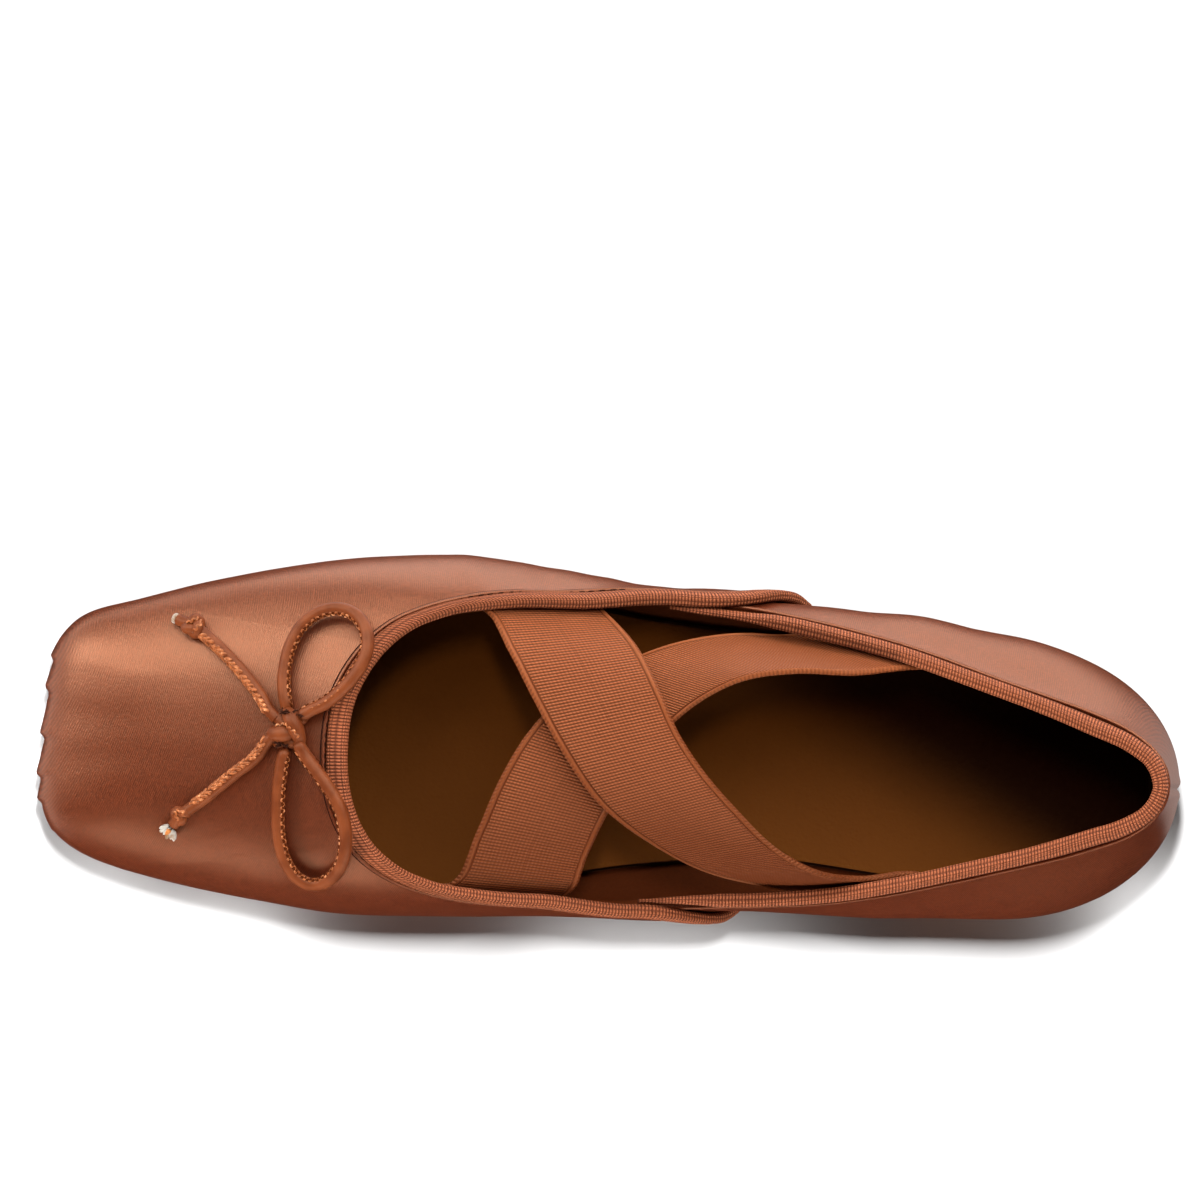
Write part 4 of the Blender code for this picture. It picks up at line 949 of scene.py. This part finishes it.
def zigzag_on(name, piece, spot, axes, path, step=0.6, swing=0.26, thick=0.44):
    """A thread laid in a zigzag over a piece, along a path given on the first two of three axes."""
    skin = BVHTree.FromObject(piece, bpy.context.evaluated_depsgraph_get())
    path = np.array(path)
    line = curve_through(path, np.arange(0.0, along(path)[-1], step))
    ahead = unit(np.gradient(line, axis=0))
    corners = []
    for n, ((x, y), (dx, dy)) in enumerate(zip(line, ahead)):
        off = swing if n % 2 else -swing
        above = spot + np.array((x - off * dy, y + off * dx, 20.0)) @ axes
        hit = skin.ray_cast(Vector(above * MM), Vector(-axes[2]))[0]
        if hit:
            corners.append(np.array(hit / MM) + 0.05 * axes[2])
    thread_strip = round_strip(corners, thick, spacing=0.25)
    return swept(name, thread_strip, round_profile(thread_strip, 6))


# the knot: one flat turn, one turn over it from the loops down, and a tucked strand on each side
knot_spot, knot_out = laid(*KNOT_PLACE, 0.0)
knot_axes = np.array([unit(np.cross((0.0, 1.0, 0.0), knot_out)), (0.0, 1.0, 0.0), knot_out])
KNOT_TURNS = [
    (
        ((-4.0, -0.3, 0.6), (-3.2, -1.0, 1.7), (-1.6, -1.2, 2.4), (0.4, -1.0, 2.2), (1.6, -0.6, 1.0)),
        (2.4, 3.7, 3.9, 3.4, 2.4),
    ),
    (
        (
            (-0.9, 4.2, 0.8), (0.2, 3.3, 2.0), (1.5, 1.7, 2.8),
            (2.5, -0.3, 2.6), (2.9, -2.2, 1.6), (2.7, -3.6, 0.6),
        ),
        (2.6, 3.2, 3.8, 3.6, 3.0, 2.4),
    ),
    (((-3.0, 3.3, 0.6), (-1.9, 2.0, 1.5), (-0.6, 0.9, 1.6), (0.6, 0.0, 1.2)), (2.4, 3.0, 3.0, 2.6)),
    (((4.2, 2.9, 1.0), (3.0, 2.2, 1.5), (1.6, 1.6, 1.4)), (2.4, 2.6, 2.2)),
    (((-3.4, -3.6, 0.8), (-1.6, -2.9, 1.3), (0.8, -3.0, 1.4), (2.2, -3.6, 1.1)), (2.0, 2.5, 2.5, 2.2)),
]
KNOT_SEAM = [(-2.4, 0.6), (-1.0, 0.9), (0.2, 1.1), (1.2, 0.3), (2.2, -0.3), (3.0, -0.9), (3.2, -2.0)]
turns = []
for places, thick in KNOT_TURNS:
    turn_strip = round_strip(knot_spot + np.array(places) @ knot_axes, thick, spacing=0.35)
    turns.append(swept("turn", turn_strip, round_profile(turn_strip, 16, blunt=0.9)))
knot_wraps = handed(joined("knot_wraps", turns), cord_leather, "bow_knot", "bow_knot")
handed(zigzag_on("knot_seam", knot_wraps, knot_spot, knot_axes, KNOT_SEAM), plait_leather, "bow_knot")
rng = np.random.default_rng(7)
fibres, fibre_axes = [], []
for x, y, above in [(0.3, 3.7, 3.6)] * 14 + [(-0.6, -3.6, 2.9)] * 12 + [(3.4, 2.8, 3.2)] * 7:
    fibres.append(knot_spot + (np.array((x, y, above)) + rng.normal(0.0, (0.8, 0.35, 0.3))) @ knot_axes)
    lean = unit(np.array((1.0, 0.0, 0.0)) + rng.normal(0.0, 0.6, 3)) @ knot_axes
    side = unit(np.cross(lean, knot_out))
    fibre_axes.append((rng.uniform(0.6, 1.2) * lean, 0.17 * side, 0.17 * np.cross(lean, side)))
handed(copies("knot_threads", LUMP, fibres, fibre_axes), thread, "bow_knot")

Tail = namedtuple("Tail", "side start first knot knot_size tip turn")
TAILS = [
    Tail("outer", (-74.9, 3.7, 38.8), (-72.6, 1.4, 40.6), (-92.2, 21.2), 0.62, (-96.2, 22.7), 0.70),
    Tail("inner", (-75.0, -3.3, 39.8), (-72.9, -1.4, 41.0), (-93.2, -20.4), 0.50, (-95.0, -23.0), -0.70),
]


def end_knot(side, centre, out, ahead, size):
    """A small hard overhand knot, as a round cord tied in three crossings, and the seams that show on it."""
    turn = np.linspace(0.0, 2 * math.pi, 25)[:-1]
    aside = np.cross(out, ahead)
    ring = centre + size * (
        np.outer(np.sin(turn) + 2 * np.sin(2 * turn), ahead)
        + np.outer(np.cos(turn) - 2 * np.cos(2 * turn), aside)
        - 1.15 * np.outer(np.sin(3 * turn), out)
    )
    bpy.ops.curve.primitive_bezier_curve_add()
    knot = bpy.context.object
    knot.name = knot.data.name = "end_knot_" + side
    knot.data.splines.clear()
    spline = knot.data.splines.new("NURBS")
    spline.points.add(len(ring) - 1)
    for point, place in zip(spline.points, ring):
        point.co = (*(place * MM), 1.0)
    spline.use_cyclic_u = True
    spline.order_u = 4
    thick = 4.0 * size
    knot.data.bevel_depth = thick / 2 * MM
    knot.data.bevel_resolution = 3
    bpy.ops.object.convert(target="MESH")
    bpy.ops.object.transform_apply(location=True, rotation=True, scale=True)
    bpy.ops.object.shade_smooth()
    axes = np.array([ahead, aside, out])
    paths = (
        ((-2.0, -3.4), (-3.0, -1.4), (-2.6, 0.8), (-1.4, 2.8)),
        ((-0.6, -3.2), (0.2, -1.4), (1.6, 0.2), (3.0, 1.0)),
    )
    seams = [
        zigzag_on("seam", knot, centre, axes, size * np.array(path), swing=0.30, thick=0.55) for path in paths
    ]
    return knot, joined("knot_plait_" + side, seams)


PETALS = [(-1.3, 0.9), (-0.8, 1.3), (-0.25, 1.0), (0.3, 1.4), (0.85, 1.0), (1.35, 1.2)]  # aside, length, mm
for tail in TAILS:
    node, knot_node = "bow_tail_" + tail.side, "tail_knot_" + tail.side
    centre, out = laid(*tail.knot, 2.1)
    tip, _ = laid(*tail.tip, 1.5)
    line = [tail.first] + ring_middles(node, tail.start) + [centre, tip]
    strip = round_strip(line, (CORD_THICK - 0.2,) * 4 + (TIP_THICK,))
    cord = swept("tail_cord_" + tail.side, strip, round_profile(strip, 16, blunt=0.3))
    handed(cord, cord_leather, node, node)
    length = along(strip.middle)[-1]
    seam = handed(plait("tail_plait_" + tail.side, strip, tail.turn, 3.0, length - 7.5), plait_leather, node)
    ahead = unit(tip - centre)
    knot, knot_plait = end_knot(tail.side, centre, out, ahead, tail.knot_size)
    handed(knot, cord_leather, knot_node, knot_node)
    handed(knot_plait, plait_leather, knot_node)
    side = np.cross(out, ahead)
    if tail.side == "outer":  # cut clean, its white core showing
        cut_line = [tip - 0.6 * ahead, tip + 0.1 * ahead, tip + 0.75 * ahead]
        end_strip = round_strip(cut_line, (2.4, 2.4, 2.2), spacing=0.15)
        raw = swept("raw_end_outer", end_strip, round_profile(end_strip, 16, blunt=0.25))
    else:  # frayed open, its pale fibres spread round a stained core
        places, axes = [], []
        for lift in (-0.25, 0.55):
            for aside, reach in PETALS:
                lean = unit(ahead + 0.55 * aside * side + 0.25 * lift * out)
                raised = lift * (1 - 0.25 * abs(aside)) * out
                places.append(tip + (0.4 + reach) * lean + 0.45 * aside * side + raised)
                axes.append((1.25 * lean, 0.50 * np.cross(out, lean), 0.30 * out))
        raw = copies("raw_end_inner", LUMP, places, axes)
        core = np.array([tip + 1.4 * ahead + 0.75 * out, tip + 2.0 * ahead + 0.3 * side + 0.6 * out])
        core_axes = [(1.0 * ahead, 0.75 * side, 0.40 * out), (0.7 * ahead, 0.60 * side, 0.4 * out)]
        handed(copies("core_inner", LUMP, core, core_axes), stained, knot_node)
    handed(raw, raw_end, knot_node)
